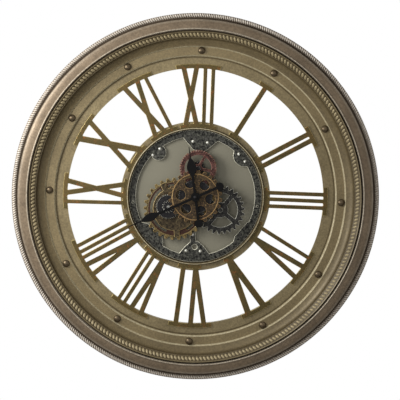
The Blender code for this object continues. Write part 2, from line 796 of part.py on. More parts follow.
def make_numeral(number, strokes, look):
    """One numeral cut from sheet: its strokes and the two serif strips that join them."""
    outer_in = OPENING_RADIUS + FIT
    outer_out = outer_in + OUTER_SERIF_WIDTH
    inner_in = hub_outer + FIT
    inner_out = inner_in + INNER_SERIF_WIDTH
    outward = clock_point(1.0, 30.0 * number)
    sideways = clock_point(1.0, 30.0 * number + 90.0)
    far = (outer_in + outer_out) / 2
    near = (inner_in + inner_out) / 2
    outlines = []
    for at_outer, at_inner, width in strokes:
        start = outward * near + sideways * at_inner
        end = outward * far + sideways * at_outer
        outlines.append(bar(start, end, width))
    outer_reach = OUTER_SERIF_OVERHANG + WIDE_STROKE / 2
    inner_reach = INNER_SERIF_OVERHANG + WIDE_STROKE / 2
    firsts = min(stroke[0] for stroke in strokes) - outer_reach
    lasts = max(stroke[0] for stroke in strokes) + outer_reach
    outlines.append(serif(firsts, lasts, outer_in, outer_out, number))
    firsts = min(stroke[1] for stroke in strokes) - inner_reach
    lasts = max(stroke[1] for stroke in strokes) + inner_reach
    outlines.append(serif(firsts, lasts, inner_in, inner_out, number))
    back = BAND_DEPTH + FIT
    sheet(f"numeral_{number:02d}", look, outlines, [], back, back + NUMERAL_THICKNESS)


# Hub


def make_hub_ring(look):
    """The hub's cup wall, with its rolled lip, the flange for the numerals and the shelf for the floor."""
    back = floor_back - FIT - SHEET
    lip = BAND_DEPTH + HUB_LIP_RISE
    profile = [
        (HUB_BORE - HUB_SHELF_WIDTH, back),
        (HUB_BORE - HUB_SHELF_WIDTH, floor_back - FIT),
        (HUB_BORE, floor_back - FIT),
        (HUB_BORE, lip - HUB_LIP_ROLL),
        (HUB_BORE + HUB_LIP_ROLL, lip),
        (hub_outer - HUB_LIP_ROLL, lip),
        (hub_outer, lip - HUB_LIP_ROLL),
        (hub_outer, BAND_DEPTH),
        (flange_outer, BAND_DEPTH),
        (flange_outer, BAND_DEPTH - SHEET),
        (HUB_BORE + SHEET, BAND_DEPTH - SHEET),
        (HUB_BORE + SHEET, back),
    ]
    turned("hub_ring", look, profile)


def make_floor(look):
    """The round floor behind the wheels, pierced for the bush and the motor's shaft."""
    holes = [
        circle(bush_outer + FIT, steps=SMALL_STEPS),
        circle(MOTOR_SHAFT_RADIUS + RUNNING_GAP, motor_spot, SMALL_STEPS),
    ]
    sheet("hub_floor", look, [circle(HUB_BORE - FIT, steps=RING_STEPS)], holes, floor_back, floor_front)


def plate_point(inset, degrees):
    """A point of the gear plate, by its distance in from the plate's edge and its clock angle."""
    return clock_point(plate_edge - inset, degrees)


def make_gear_plate(look):
    """The dark plate round the wheels: two half rings with their lobes, an ear and the neck for its stud."""
    inner = plate_edge - PLATE_RING_WIDTH
    half = RING_STEPS // 2
    solids = [
        ring_sector(inner, plate_edge, 0.0, 180.0, half),
        ring_sector(inner, plate_edge, 180.0, 360.0, half),
        circle(PLATE_EAR_RADIUS, plate_point(*PLATE_EAR), 16),
        bar(plate_point(*PLATE_NECK[0]), plate_point(*PLATE_NECK[1]), PLATE_NECK_WIDTH),
    ]
    grip = PLATE_RING_WIDTH / 2
    for first, last, corners in PLATE_LOBES:
        solids.append([plate_point(*corner) for corner in ((grip, first), *corners, (grip, last))])
    tower_hole = circle(TOWER_HOLE_RADIUS, plate_point(*TOWER_HOLE), SMALL_STEPS)
    form = bmesh.new()
    add_sheet(form, solids, [tower_hole], plate_back, plate_front)
    add_plate_fasteners(place("gear_plate", finish(form, "gear_plate"), look))


def add_plate_fasteners(plate):
    """The feet that carry the plate off the floor and the screw heads over them."""
    form = bmesh.new()
    grip = plate_back + SHEET / 2
    for screw in PLATE_SCREWS:
        spot = plate_point(*screw)
        foot = rod(SPACER_RADIUS, floor_front + FIT, grip - SHEET / 4)
        add_turned(form, foot, HEAD_STEPS, closed=False, centre=spot)
        head = dome(SCREW_RADIUS, SCREW_HEAD + SHEET / 2, grip, 2)
        add_turned(form, head, HEAD_STEPS, closed=False, centre=spot)
    combine(plate, form, "UNION")


def make_stud(look):
    """The round-headed stud on the plate's neck."""
    stud = dome(STUD_RADIUS, STUD_HEIGHT, plate_front + FIT, 3)
    turned("plate_stud", look, stud, SMALL_STEPS, closed=False, centre=plate_point(*PLATE_STUD))


# Wheels


def seat_hole(radius):
    """The hole of a wheel on a round seat."""
    return circle(radius, steps=SMALL_STEPS)


def make_centre_train(drive_look, fine_look, wheel_look, sleeve_look):
    """The sleeve that turns on the bush, with the drive wheel, the fine wheel and the centre wheel on it."""
    sleeve = tube(sleeve_bore, sleeve_outer, sleeve_back, sleeve_front)
    turned("centre_sleeve", sleeve_look, sleeve, ROUND_STEPS)
    seat = seat_hole(wheel_seat)
    drive = wheel_outline(DRIVE_TEETH, DRIVE_MODULE, drive_angle)
    sheet("centre_drive_wheel", drive_look, [drive], [seat], drive_back, drive_front)
    fine = wheel_outline(CENTRE_FINE_TEETH, SMALL_MODULE, fine_angle)
    sheet("centre_fine_wheel", fine_look, [fine], [seat], small_back, small_front)
    wheel = wheel_outline(CENTRE_TEETH, CENTRE_MODULE, CENTRE_TOOTH_ANGLE, BLUNT_FLANK_SLOPE)
    holes = [seat]
    for hole in range(CENTRE_HOLES):
        spot = polar(CENTRE_HOLE_CIRCLE, CENTRE_HOLE_ANGLE + 360.0 * hole / CENTRE_HOLES)
        holes.append(circle(CENTRE_HOLE_RADIUS, spot, 16))
    sheet("centre_wheel", wheel_look, [wheel], holes, centre_back, centre_front)


def make_post(name, look, spot, foot_radius, back, head_back):
    """A fixed post with a foot and a head, on which wheels turn."""
    profile = [
        (0.0, back),
        (foot_radius, back),
        (foot_radius, back + POST_FOOT_HEIGHT),
        (POST_RADIUS, back + POST_FOOT_HEIGHT),
        (POST_RADIUS, head_back),
        (POST_HEAD_RADIUS, head_back),
        (POST_HEAD_RADIUS, head_back + POST_HEAD_HEIGHT),
        (0.0, head_back + POST_HEAD_HEIGHT),
    ]
    turned(name, look, profile, SMALL_STEPS, closed=False, centre=spot)


def make_top_train(ring_look, coarse_look, pinion_look, post_look):
    """The copper top wheel and the coarse wheel and pinion behind it, on their post."""
    seat = seat_hole(POST_RADIUS + RUNNING_GAP)
    pinion = wheel_outline(PINION_TEETH, DRIVE_MODULE, top_pinion_angle)
    sheet("top_pinion", pinion_look, [pinion], [seat], drive_back, drive_front, top_spot)
    window = root_radius(TOP_TEETH, TOP_MODULE) - TOP_RIM_WIDTH
    windows = spoke_windows(TOP_HUB_RADIUS, window, TOP_SPOKES, TOP_SPOKE_WIDTH, TOP_SPOKE_ANGLE)
    coarse = wheel_outline(COARSE_TEETH, COARSE_MODULE, coarse_angle)
    sheet("top_coarse_wheel", coarse_look, [coarse], [seat] + windows, coarse_back, coarse_front, top_spot)
    ring = wheel_outline(TOP_TEETH, TOP_MODULE, TOP_SPOKE_ANGLE)
    sheet("top_wheel", ring_look, [ring], [seat] + windows, fine_back, fine_front, top_spot)
    make_post("top_post", post_look, top_spot, SHOULDER_RADIUS, floor_front + FIT, fine_front + FIT)


def make_right_train(wheel_look, pinion_look, collar_look, post_look):
    """The dark right wheel, its pinion and the collar between them, on their post."""
    seat = seat_hole(POST_RADIUS + RUNNING_GAP)
    pinion = wheel_outline(PINION_TEETH, DRIVE_MODULE, right_pinion_angle)
    sheet("right_pinion", pinion_look, [pinion], [seat], drive_back, drive_front, right_spot)
    window = root_radius(RIGHT_TEETH, RIGHT_MODULE) - RIGHT_RIM_WIDTH
    windows = spoke_windows(RIGHT_HUB_RADIUS, window, RIGHT_SPOKES, RIGHT_SPOKE_WIDTH, RIGHT_SPOKE_ANGLE)
    wheel = wheel_outline(RIGHT_TEETH, RIGHT_MODULE, RIGHT_TOOTH_ANGLE)
    sheet("right_wheel", wheel_look, [wheel], [seat] + windows, fine_back, fine_front, right_spot)
    collar = tube(POST_RADIUS + RUNNING_GAP, SHOULDER_RADIUS, drive_front + FIT, fine_back - FIT)
    turned("right_collar", collar_look, collar, SMALL_STEPS, centre=right_spot)
    make_post("right_post", post_look, right_spot, SHOULDER_RADIUS, floor_front + FIT, fine_front + FIT)


def make_left_train(ring_look, carrier_look, keeper_look):
    """The big left ring, the fixed slotted carrier that it runs round, and its three-tabbed keeper."""
    ring = wheel_outline(LEFT_TEETH, COARSE_MODULE, LEFT_TOOTH_ANGLE)
    bore = circle(left_bore, steps=RING_STEPS)
    sheet("left_ring_wheel", ring_look, [ring], [bore], coarse_back, coarse_front, left_spot)
    sleeve_notch = circle(sleeve_outer + RUNNING_GAP * 2, -left_spot, SMALL_STEPS)
    slot_outer = left_bore - RUNNING_GAP - CARRIER_RIM_WIDTH
    slots = []
    for first, last in CARRIER_SLOTS:
        slots.append(ring_sector(slot_outer - CARRIER_SLOT_WIDTH, slot_outer, first, last, 5))
    disc = circle(left_bore - RUNNING_GAP, steps=RING_STEPS)
    holes = slots + [sleeve_notch]
    carrier = sheet("left_carrier", carrier_look, [disc], holes, coarse_back, coarse_front, left_spot)
    wheel_notch = circle(
        tip_radius(RIGHT_TEETH, RIGHT_MODULE) + RUNNING_GAP * 2, right_spot - left_spot, RING_STEPS
    )
    solids = [circle(KEEPER_RADIUS, steps=RING_STEPS // 2)]
    for angle in TAB_ANGLES:
        tab_root = polar(KEEPER_RADIUS - TAB_ROOT, angle)
        solids.append(bar(tab_root, polar(left_bore + TAB_OVERLAP, angle), TAB_WIDTH))
    holes = [sleeve_notch, wheel_notch]
    sheet("left_keeper", keeper_look, solids, holes, keeper_back, keeper_front, left_spot)
    legs = bmesh.new()
    for spot in LEG_SPOTS:
        leg = rod(LEG_RADIUS, floor_front + FIT, coarse_back + COARSE_THICKNESS / 2)
        add_turned(legs, leg, SMALL_STEPS, closed=False, centre=spot)
    combine(carrier, legs, "UNION")


def make_small_train(wheel_look, pinion_look, post_look):
    """The small steel wheel and the bright pinion on it, on a post that stands on the keeper."""
    seat = seat_hole(POST_RADIUS + RUNNING_GAP)
    wheel = wheel_outline(SMALL_TEETH, SMALL_MODULE, small_angle)
    sheet("small_wheel", wheel_look, [wheel], [seat], small_back, small_front, small_spot)
    pinion = wheel_outline(SMALL_PINION_TEETH, SMALL_PINION_MODULE, small_angle)
    back = small_front + FIT
    sheet("small_pinion", pinion_look, [pinion], [seat], back, small_pinion_front, small_spot)
    profile = [
        (0.0, keeper_front + FIT),
        (POST_HEAD_RADIUS, keeper_front + FIT),
        (POST_HEAD_RADIUS, small_back - FIT),
        (POST_RADIUS, small_back - FIT),
        (POST_RADIUS, small_pinion_front + FIT),
        (0.0, small_pinion_front + FIT),
    ]
    turned("small_post", post_look, profile, SMALL_STEPS, closed=False, centre=small_spot)


# Movement, gear motor and hands


def case_outline(left, right, low, high):
    """A case seen from the front, with its corners cut off."""
    cut = CASE_SPACING
    return [
        Vector((left + cut, low)),
        Vector((right - cut, low)),
        Vector((right, low + cut)),
        Vector((right, high - cut)),
        Vector((right - cut, high)),
        Vector((left + cut, high)),
        Vector((left, high - cut)),
        Vector((left, low + cut)),
    ]


def cut_battery_bay(case, across, height):
    """Cut a bay for a battery into the back of a case."""
    length = BATTERY_LENGTH + BATTERY_NUB_LENGTH + FIT * 4
    reach = BATTERY_RADIUS + FIT
    deep = case_back + reach * 2
    shallow = case_back - SHEET
    form = bmesh.new()
    bmesh.ops.create_cube(form, size=1.0)
    bmesh.ops.scale(form, vec=(length, deep - shallow, reach * 2), verts=form.verts)
    bmesh.ops.translate(form, vec=(across, -(deep + shallow) / 2, height), verts=form.verts)
    combine(case, form, "DIFFERENCE")


def make_cells(look):
    """The two AA cells, one in each bay, lying along X."""
    start = -(BATTERY_LENGTH + BATTERY_NUB_LENGTH) / 2
    profile = [
        (0.0, start),
        (BATTERY_RADIUS, start),
        (BATTERY_RADIUS, start + BATTERY_LENGTH),
        (BATTERY_NUB_RADIUS, start + BATTERY_LENGTH),
        (BATTERY_NUB_RADIUS, -start),
        (0.0, -start),
    ]
    for name, bay in (("movement_cell", movement_bay), ("motor_cell", motor_bay)):
        cell = turned(name, look, profile, SMALL_STEPS, closed=False, centre=bay)
        cell.location.y = -(case_back + BATTERY_RADIUS + FIT)
        cell.rotation_euler.z = math.radians(90.0)


def make_movement(case_look, bush_look, nut_look):
    """The quartz movement on the back of the floor, and the long fixed bush in front."""
    half = MOVEMENT_SIDE / 2
    bore = circle(bush_outer + FIT, steps=SMALL_STEPS)
    outline = case_outline(-half, half, -half, half)
    case = sheet("movement_case", case_look, [outline], [bore], case_back, case_front)
    cut_battery_bay(case, *movement_bay)
    shoulder = floor_front + FIT
    profile = [
        (bush_bore, tube_back),
        (bush_bore, nut_front),
        (bush_outer, nut_front),
        (bush_outer, sleeve_back - FIT),
        (SHOULDER_RADIUS, sleeve_back - FIT),
        (SHOULDER_RADIUS, shoulder),
        (bush_outer, shoulder),
        (bush_outer, tube_back),
    ]
    turned("centre_bush", bush_look, profile, ROUND_STEPS)
    nut_seat = bush_outer + FIT
    nut = circle(nut_seat + NUT_RIM, steps=6)
    sheet("bush_nut", nut_look, [nut], [circle(nut_seat, steps=ROUND_STEPS)], sleeve_front + FIT, nut_front)


def make_gear_motor(case_look, shaft_look, pinion_look):
    """The gear motor under the movement, with its shaft and pinion."""
    left = MOTOR_OFFSET - MOTOR_WIDTH / 2
    right = MOTOR_OFFSET + MOTOR_WIDTH / 2
    bore = circle(MOTOR_SHAFT_RADIUS + RUNNING_GAP, motor_spot, SMALL_STEPS)
    outline = case_outline(left, right, motor_low, motor_low + MOTOR_HEIGHT)
    case = sheet("motor_case", case_look, [outline], [bore], case_back, case_front)
    cut_battery_bay(case, *motor_bay)
    shaft = rod(MOTOR_SHAFT_RADIUS, tube_back, drive_front + FIT)
    turned("motor_shaft", shaft_look, shaft, SMALL_STEPS, closed=False, centre=motor_spot)
    seat = seat_hole(MOTOR_SHAFT_RADIUS + FIT)
    pinion = wheel_outline(PINION_TEETH, DRIVE_MODULE, motor_pinion_angle)
    sheet("motor_pinion", pinion_look, [pinion], [seat], drive_back, drive_front, motor_spot)


def hand_outlines(length, leaf_start, leaf_middle, leaf_end, leaf_width):
    """A spade hand that points up: point, leaf, stem, boss, tail and tail ball."""
    stem = HAND_STEM_WIDTH / 2
    tip = HAND_POINT_WIDTH / 2
    right = [Vector((stem, 0.0)), Vector((stem, leaf_start))]
    steps = 4
    for step in range(1, steps * 2):
        if step <= steps:
            height = leaf_start + (leaf_middle - leaf_start) * step / steps
            edge = stem
        else:
            height = leaf_middle + (leaf_end - leaf_middle) * (step - steps) / steps
            edge = tip * 2
        swell = math.sin(math.pi * step / steps / 2)
        right.append(Vector((edge + (leaf_width / 2 - edge) * swell, height)))
    right.append(Vector((tip * 2, leaf_end)))
    right.append(Vector((tip, length)))
    left = [Vector((-corner.x, corner.y)) for corner in reversed(right)]
    tail = bar((0.0, 0.0), (0.0, -TAIL_LENGTH), HAND_STEM_WIDTH)
    ball = circle(TAIL_BALL_RADIUS, (0.0, -TAIL_LENGTH), 16)
    return [right + left, circle(HAND_BOSS_RADIUS, steps=16), tail, ball]


def make_hands(hand_look, shaft_look, cap_look, knob_look):
    """The two hands on their tube and shaft, the cap nut in front and the setting knob at the back."""
    outlines = hand_outlines(HOUR_LENGTH, HOUR_LEAF_START, HOUR_LEAF_MIDDLE, HOUR_LEAF_END, HOUR_LEAF_WIDTH)
    hour = sheet("hour_hand", hand_look, outlines, [seat_hole(hour_tube_outer + FIT)], hour_back, hour_front)
    hour.rotation_euler.y = math.radians(HOUR_CLOCK_ANGLE)
    outlines = hand_outlines(
        MINUTE_LENGTH, MINUTE_LEAF_START, MINUTE_LEAF_MIDDLE, MINUTE_LEAF_END, MINUTE_LEAF_WIDTH
    )
    seat = seat_hole(MINUTE_SHAFT_RADIUS + FIT)
    minute = sheet("minute_hand", hand_look, outlines, [seat], minute_back, minute_front)
    minute.rotation_euler.y = math.radians(MINUTE_CLOCK_ANGLE)
    hour_tube = tube(hour_tube_bore, hour_tube_outer, tube_back, hour_front)
    turned("hour_tube", shaft_look, hour_tube, SMALL_STEPS)
    shaft = rod(MINUTE_SHAFT_RADIUS, case_back, minute_front)
    turned("minute_shaft", shaft_look, shaft, SMALL_STEPS, closed=False)
    cap = dome(CAP_RADIUS, CAP_HEIGHT, minute_front + FIT, 3)
    turned("cap_nut", cap_look, cap, SMALL_STEPS, closed=False)
    knob = rod(KNOB_RADIUS, case_back - FIT - KNOB_THICKNESS, case_back - FIT)
    turned("setting_knob", knob_look, knob, ROUND_STEPS, closed=False)


clear_scene()
dial_centre = bpy.data.objects.new("dial_centre", None)
bpy.context.scene.collection.objects.link(dial_centre)
dial_centre.location.z = -hook_radius

champagne = material("champagne_paint", (0.23, 0.20, 0.12), 0.45, 0.5)
taupe = material("taupe_silver_paint", (0.24, 0.19, 0.14), 0.40, 0.6)
bead_metal = material("bead_highlight", (0.36, 0.30, 0.21), 0.35, 0.7)
board_black = material("black_board", (0.03, 0.03, 0.03), 0.80, 0.0)
zinc = material("zinc_steel", (0.50, 0.50, 0.50), 0.35, 1.0)
rubber = material("black_rubber", (0.02, 0.02, 0.02), 0.90, 0.0)
old_brass = material("old_brass", (0.16, 0.11, 0.04), 0.50, 0.8)
floor_paint = material("grey_green_paint", (0.22, 0.20, 0.14), 0.60, 0.2)
slate = material("speckled_slate", (0.06, 0.06, 0.055), 0.50, 0.5)
copper = material("copper", (0.30, 0.09, 0.04), 0.35, 1.0)
bronze = material("bronze", (0.20, 0.13, 0.06), 0.40, 1.0)
gunmetal = material("gunmetal", (0.07, 0.07, 0.07), 0.40, 1.0)
gold = material("antique_gold", (0.28, 0.19, 0.08), 0.38, 1.0)
steel = material("steel", (0.40, 0.40, 0.40), 0.30, 1.0)
black_plastic = material("black_plastic", (0.02, 0.02, 0.02), 0.45, 0.0)
cell_wrap = material("battery_wrap", (0.30, 0.30, 0.32), 0.30, 0.3)
hand_black = material("black_enamel", (0.01, 0.01, 0.01), 0.40, 0.2)

make_board(board_black)
make_inner_ring(champagne)
make_cove_ring(champagne)
make_outer_rim(taupe)
make_bead_rings(bead_metal, taupe)
make_hanger(zinc)
make_pads(rubber)
for numeral, numeral_strokes in NUMERAL_STROKES.items():
    make_numeral(numeral, numeral_strokes, old_brass)
make_hub_ring(champagne)
make_floor(floor_paint)
make_gear_plate(slate)
make_stud(zinc)
make_centre_train(bronze, steel, gold, bronze)
make_top_train(copper, bronze, steel, steel)
make_right_train(gunmetal, steel, gunmetal, steel)
make_left_train(bronze, slate, bronze)
make_small_train(steel, zinc, steel)
make_movement(black_plastic, steel, zinc)
make_gear_motor(black_plastic, steel, steel)
make_cells(cell_wrap)
make_hands(hand_black, steel, zinc, black_plastic)
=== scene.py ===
import math

import bmesh
import bpy
from mathutils import Matrix, Quaternion, Vector


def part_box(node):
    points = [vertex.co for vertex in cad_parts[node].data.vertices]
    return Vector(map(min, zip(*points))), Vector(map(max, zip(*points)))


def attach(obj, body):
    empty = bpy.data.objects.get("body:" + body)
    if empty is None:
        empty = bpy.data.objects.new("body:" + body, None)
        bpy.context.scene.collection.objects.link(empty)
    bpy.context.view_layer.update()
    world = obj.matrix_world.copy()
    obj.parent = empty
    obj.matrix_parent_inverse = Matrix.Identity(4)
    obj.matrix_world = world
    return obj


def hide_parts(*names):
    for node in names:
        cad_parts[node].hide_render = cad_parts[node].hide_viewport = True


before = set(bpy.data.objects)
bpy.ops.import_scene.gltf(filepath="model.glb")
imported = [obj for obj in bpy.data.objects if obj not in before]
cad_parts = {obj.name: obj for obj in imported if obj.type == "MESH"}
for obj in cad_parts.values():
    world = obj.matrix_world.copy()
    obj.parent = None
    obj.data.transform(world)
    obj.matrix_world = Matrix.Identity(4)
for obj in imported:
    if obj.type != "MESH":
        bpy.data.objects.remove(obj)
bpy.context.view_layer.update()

# The clock hangs in mid-air over a pale floor, against plain white, and is lit from its upper left.
# Everything is set out from the middle of its dial, which lies in the plane of the wall at y = 0.
rim_low, rim_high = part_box("outer_rim")
dial = Vector(((rim_low.x + rim_high.x) / 2, 0.0, (rim_low.z + rim_high.z) / 2))

CAMERA_DISTANCE = 5.0
CAMERA_RAISED = 4.5
CAMERA_LEFT = 0.2
CLOCK_TURN = 2.5
SIGHT_RIGHT = 0.0076
SIGHT_DOWN = 0.0085
PHOTO_WIDTH = 0.6593
SENSOR_WIDTH = 36.0
ROOM_LIGHT = 0.26
SHOWN_WHITE = 1.0
FLOOR_SIZE = 4.0
FLOOR_PLACE = (0.0, -0.8, -1.05)
FLOOR_WHITE = (0.86, 0.86, 0.86, 1.0)
FLOOR_ROUGHNESS = 0.8

camera_data = bpy.data.cameras.new("studio_camera")
camera = bpy.data.objects.new("studio_camera", camera_data)
bpy.context.scene.collection.objects.link(camera)
bpy.context.scene.camera = camera
camera_data.sensor_width = SENSOR_WIDTH
camera_data.lens = SENSOR_WIDTH * CAMERA_DISTANCE / PHOTO_WIDTH
raised = math.radians(CAMERA_RAISED)
left = math.radians(CAMERA_LEFT)
towards_camera = Vector(
    (-math.sin(left) * math.cos(raised), -math.cos(left) * math.cos(raised), math.sin(raised))
)
upright = (-towards_camera).to_track_quat("-Z", "Y")
turn = upright @ Quaternion((0.0, 0.0, 1.0), math.radians(CLOCK_TURN))
sight = dial + turn @ Vector((SIGHT_RIGHT, -SIGHT_DOWN, 0.0))
camera.location = sight + towards_camera * CAMERA_DISTANCE
camera.rotation_mode = "QUATERNION"
camera.rotation_quaternion = turn


def lamp(name, place, size, power):
    """A soft square lamp that faces the dial."""
    data = bpy.data.lights.new(name, "AREA")
    data.size = size
    data.energy = power
    made = bpy.data.objects.new(name, data)
    bpy.context.scene.collection.objects.link(made)
    made.location = dial + Vector(place)
    made.rotation_mode = "QUATERNION"
    made.rotation_quaternion = (-Vector(place)).to_track_quat("-Z", "Y")


lamp("key_lamp", place=(-0.62, -0.43, 0.25), size=0.4, power=7.5)
lamp("front_lamp", place=(-0.38, -1.3, 0.12), size=0.5, power=3.0)

world = bpy.data.worlds.new("white_studio")
bpy.context.scene.world = world
world.use_nodes = True
seen = world.node_tree.nodes.new("ShaderNodeLightPath")
share = world.node_tree.nodes.new("ShaderNodeMapRange")
share.inputs["To Min"].default_value = ROOM_LIGHT
share.inputs["To Max"].default_value = SHOWN_WHITE
shown = world.node_tree.nodes.new("ShaderNodeMath")
shown.operation = "MAXIMUM"
mirrored = world.node_tree.nodes.new("ShaderNodeMath")
mirrored.operation = "MAXIMUM"
world.node_tree.links.new(seen.outputs["Is Glossy Ray"], mirrored.inputs[0])
world.node_tree.links.new(seen.outputs["Is Transmission Ray"], mirrored.inputs[1])
world.node_tree.links.new(seen.outputs["Is Camera Ray"], shown.inputs[0])
world.node_tree.links.new(mirrored.outputs["Value"], shown.inputs[1])
world.node_tree.links.new(shown.outputs["Value"], share.inputs["Value"])
world.node_tree.links.new(share.outputs["Result"], world.node_tree.nodes["Background"].inputs["Strength"])
world.node_tree.nodes["Background"].inputs["Color"].default_value = (1.0, 1.0, 1.0, 1.0)

bpy.ops.object.select_all(action="DESELECT")
bpy.ops.mesh.primitive_plane_add(size=FLOOR_SIZE, location=FLOOR_PLACE)
floor = bpy.context.object
floor.name = "studio_floor"
floor_paint = bpy.data.materials.new("pale_floor_paint")
floor_paint.use_nodes = True
floor_shader = floor_paint.node_tree.nodes["Principled BSDF"]
floor_shader.inputs["Base Color"].default_value = FLOOR_WHITE
floor_shader.inputs["Roughness"].default_value = FLOOR_ROUGHNESS
floor.data.materials.append(floor_paint)
bpy.context.scene.view_settings.view_transform = "Standard"


# Back board: a flat ring of black painted fibreboard that closes the hollow frame behind and keeps it round.
# An oblong window is sawn in it, so that the hook's head has room inside the keyhole plate.
BOARD_INNER = 0.2116
BOARD_OUTER = 0.2960
BOARD_BACK = 0.0030
BOARD_FRONT = 0.0060
WINDOW_HALF = 0.0090
WINDOW_LOW = -0.0200
WINDOW_HIGH = 0.0080
RING_SIDES = 240
SHARP_EDGE = math.radians(28)
SMOOTH_BELOW = math.radians(40)
EDGE_SEGMENTS = 2
FACE_WEIGHT = 100
CLOUD_SCALE = 22.0
GLOSS_CHANGE = 0.08
GRAIN_DEPTH = 0.0003


def turned_ring(name, section, edge=0.0003, sides=RING_SIDES):
    """Carry a section of (radius, depth) corners once round the clock, close it and ease its edges."""
    radius, depth = section[0]
    bpy.ops.object.select_all(action="DESELECT")
    bpy.ops.mesh.primitive_circle_add(
        vertices=sides, radius=radius, location=(dial.x, -depth, dial.z), rotation=(math.pi / 2, 0.0, 0.0)
    )
    ring = bpy.context.object
    ring.name = name
    ring.data.name = name
    bpy.ops.object.transform_apply(location=True, rotation=True, scale=True)
    bpy.ops.object.mode_set(mode="EDIT")
    for next_radius, next_depth in section[1:]:
        bpy.ops.mesh.extrude_edges_move(TRANSFORM_OT_translate={"value": (0.0, depth - next_depth, 0.0)})
        wider = next_radius / radius
        bpy.ops.transform.resize(value=(wider, 1.0, wider), center_override=dial)
        radius, depth = next_radius, next_depth
    bpy.ops.mesh.select_all(action="DESELECT")
    bpy.ops.mesh.select_non_manifold()
    bpy.ops.mesh.bridge_edge_loops()
    bpy.ops.mesh.select_all(action="SELECT")
    bpy.ops.mesh.normals_make_consistent(inside=False)
    bpy.ops.object.mode_set(mode="OBJECT")
    eased_edges(ring, edge)
    return ring


def eased_edges(piece, width, edge_highlight_slot=-1, held_back=True):
    """Round off a piece's sharp edges, on a material of their own if one is given, and shade it smooth."""
    bpy.ops.object.select_all(action="DESELECT")
    piece.select_set(True)
    bpy.context.view_layer.objects.active = piece
    ease = piece.modifiers.new("eased_edges", "BEVEL")
    ease.limit_method = "ANGLE"
    ease.angle_limit = SHARP_EDGE
    ease.width = width
    ease.segments = EDGE_SEGMENTS
    # The eased edges take their own paint: on most pieces a pale painted highlight.
    ease.material = edge_highlight_slot
    ease.use_clamp_overlap = held_back
    ease.loop_slide = held_back
    bpy.ops.object.modifier_apply(modifier=ease.name)
    bpy.ops.object.shade_smooth_by_angle(angle=SMOOTH_BELOW)
    flat = piece.modifiers.new("flat_faces", "WEIGHTED_NORMAL")
    flat.weight = FACE_WEIGHT
    flat.keep_sharp = True
    bpy.ops.object.modifier_apply(modifier=flat.name)


def tint(red, green, blue):
    """A colour as it looks on the clock, from 0 to 255, made linear by the sRGB curve."""
    linear = []
    for value in (red, green, blue):
        share = value / 255
        linear.append(share / 12.92 if share <= 0.04045 else ((share + 0.055) / 1.055) ** 2.4)
    return (*linear, 1.0)


def wire(finish, kind, inputs=None, **settings):
    """Add one node to a finish, set it up and connect its inputs."""
    node = finish.node_tree.nodes.new(kind)
    for key, value in settings.items():
        setattr(node, key, value)
    for key, value in (inputs or {}).items():
        if isinstance(value, bpy.types.NodeSocket):
            finish.node_tree.links.new(value, node.inputs[key])
        else:
            node.inputs[key].default_value = value
    return node


def surfaced(finish, colour, gloss, height, relief, depth, metal, shine):
    """Give a finish its colour, its gloss and its bumps, and one metal and shine all over."""
    shader = finish.node_tree.nodes["Principled BSDF"]
    raised = wire(finish, "ShaderNodeBump", {"Height": height, "Strength": relief, "Distance": depth})
    finish.node_tree.links.new(colour, shader.inputs["Base Color"])
    finish.node_tree.links.new(gloss.outputs["Result"], shader.inputs["Roughness"])
    finish.node_tree.links.new(raised.outputs["Normal"], shader.inputs["Normal"])
    shader.inputs["Metallic"].default_value = metal
    shader.inputs["Specular IOR Level"].default_value = shine
    return finish


def plain_finish(name, colour, rough, grain, relief, variation, metal=0.0, shine=0.5):
    """A sprayed or moulded finish: one colour that varies a little, with a fine grain."""
    finish = bpy.data.materials.new(name)
    finish.use_nodes = True
    spot = wire(finish, "ShaderNodeTexCoord").outputs["Object"]
    cloud = wire(finish, "ShaderNodeTexNoise", {"Vector": spot, "Scale": CLOUD_SCALE, "Detail": 4.0})
    fine = wire(finish, "ShaderNodeTexNoise", {"Vector": spot, "Scale": grain, "Detail": 3.0})
    darker = tuple(channel * (1.0 - variation) for channel in colour[:3]) + (1.0,)
    body = wire(finish, "ShaderNodeMixRGB", {"Fac": cloud.outputs["Fac"], "Color1": darker, "Color2": colour})
    gloss = wire(
        finish,
        "ShaderNodeMapRange",
        {"Value": fine.outputs["Fac"], "To Min": rough - GLOSS_CHANGE, "To Max": rough + GLOSS_CHANGE},
    )
    return surfaced(
        finish, body.outputs["Color"], gloss, fine.outputs["Fac"], relief, GRAIN_DEPTH, metal, shine
    )


board_section = [
    (BOARD_INNER, BOARD_BACK),
    (BOARD_INNER, BOARD_FRONT),
    (BOARD_OUTER, BOARD_FRONT),
    (BOARD_OUTER, BOARD_BACK),
]
board = turned_ring("fibre_back_board", board_section)
bpy.ops.object.select_all(action="DESELECT")
bpy.ops.mesh.primitive_cube_add(
    size=1.0,
    location=(0.0, -(BOARD_BACK + BOARD_FRONT) / 2, (WINDOW_LOW + WINDOW_HIGH) / 2),
    scale=(WINDOW_HALF * 2, BOARD_FRONT * 2, WINDOW_HIGH - WINDOW_LOW),
)
cutter = bpy.context.object
bpy.ops.object.select_all(action="DESELECT")
board.select_set(True)
bpy.context.view_layer.objects.active = board
sawn = board.modifiers.new("hook_window", "BOOLEAN")
sawn.operation = "DIFFERENCE"
sawn.object = cutter
bpy.ops.object.modifier_apply(modifier=sawn.name)
bpy.data.objects.remove(cutter)
bpy.ops.object.shade_smooth_by_angle(angle=SMOOTH_BELOW)
black_board = plain_finish(
    "black_board_paint", tint(38, 36, 34), rough=0.7, grain=900.0, relief=0.35, variation=0.35
)
board.data.materials.append(black_board)
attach(board, "clock_body")
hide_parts("back_board")


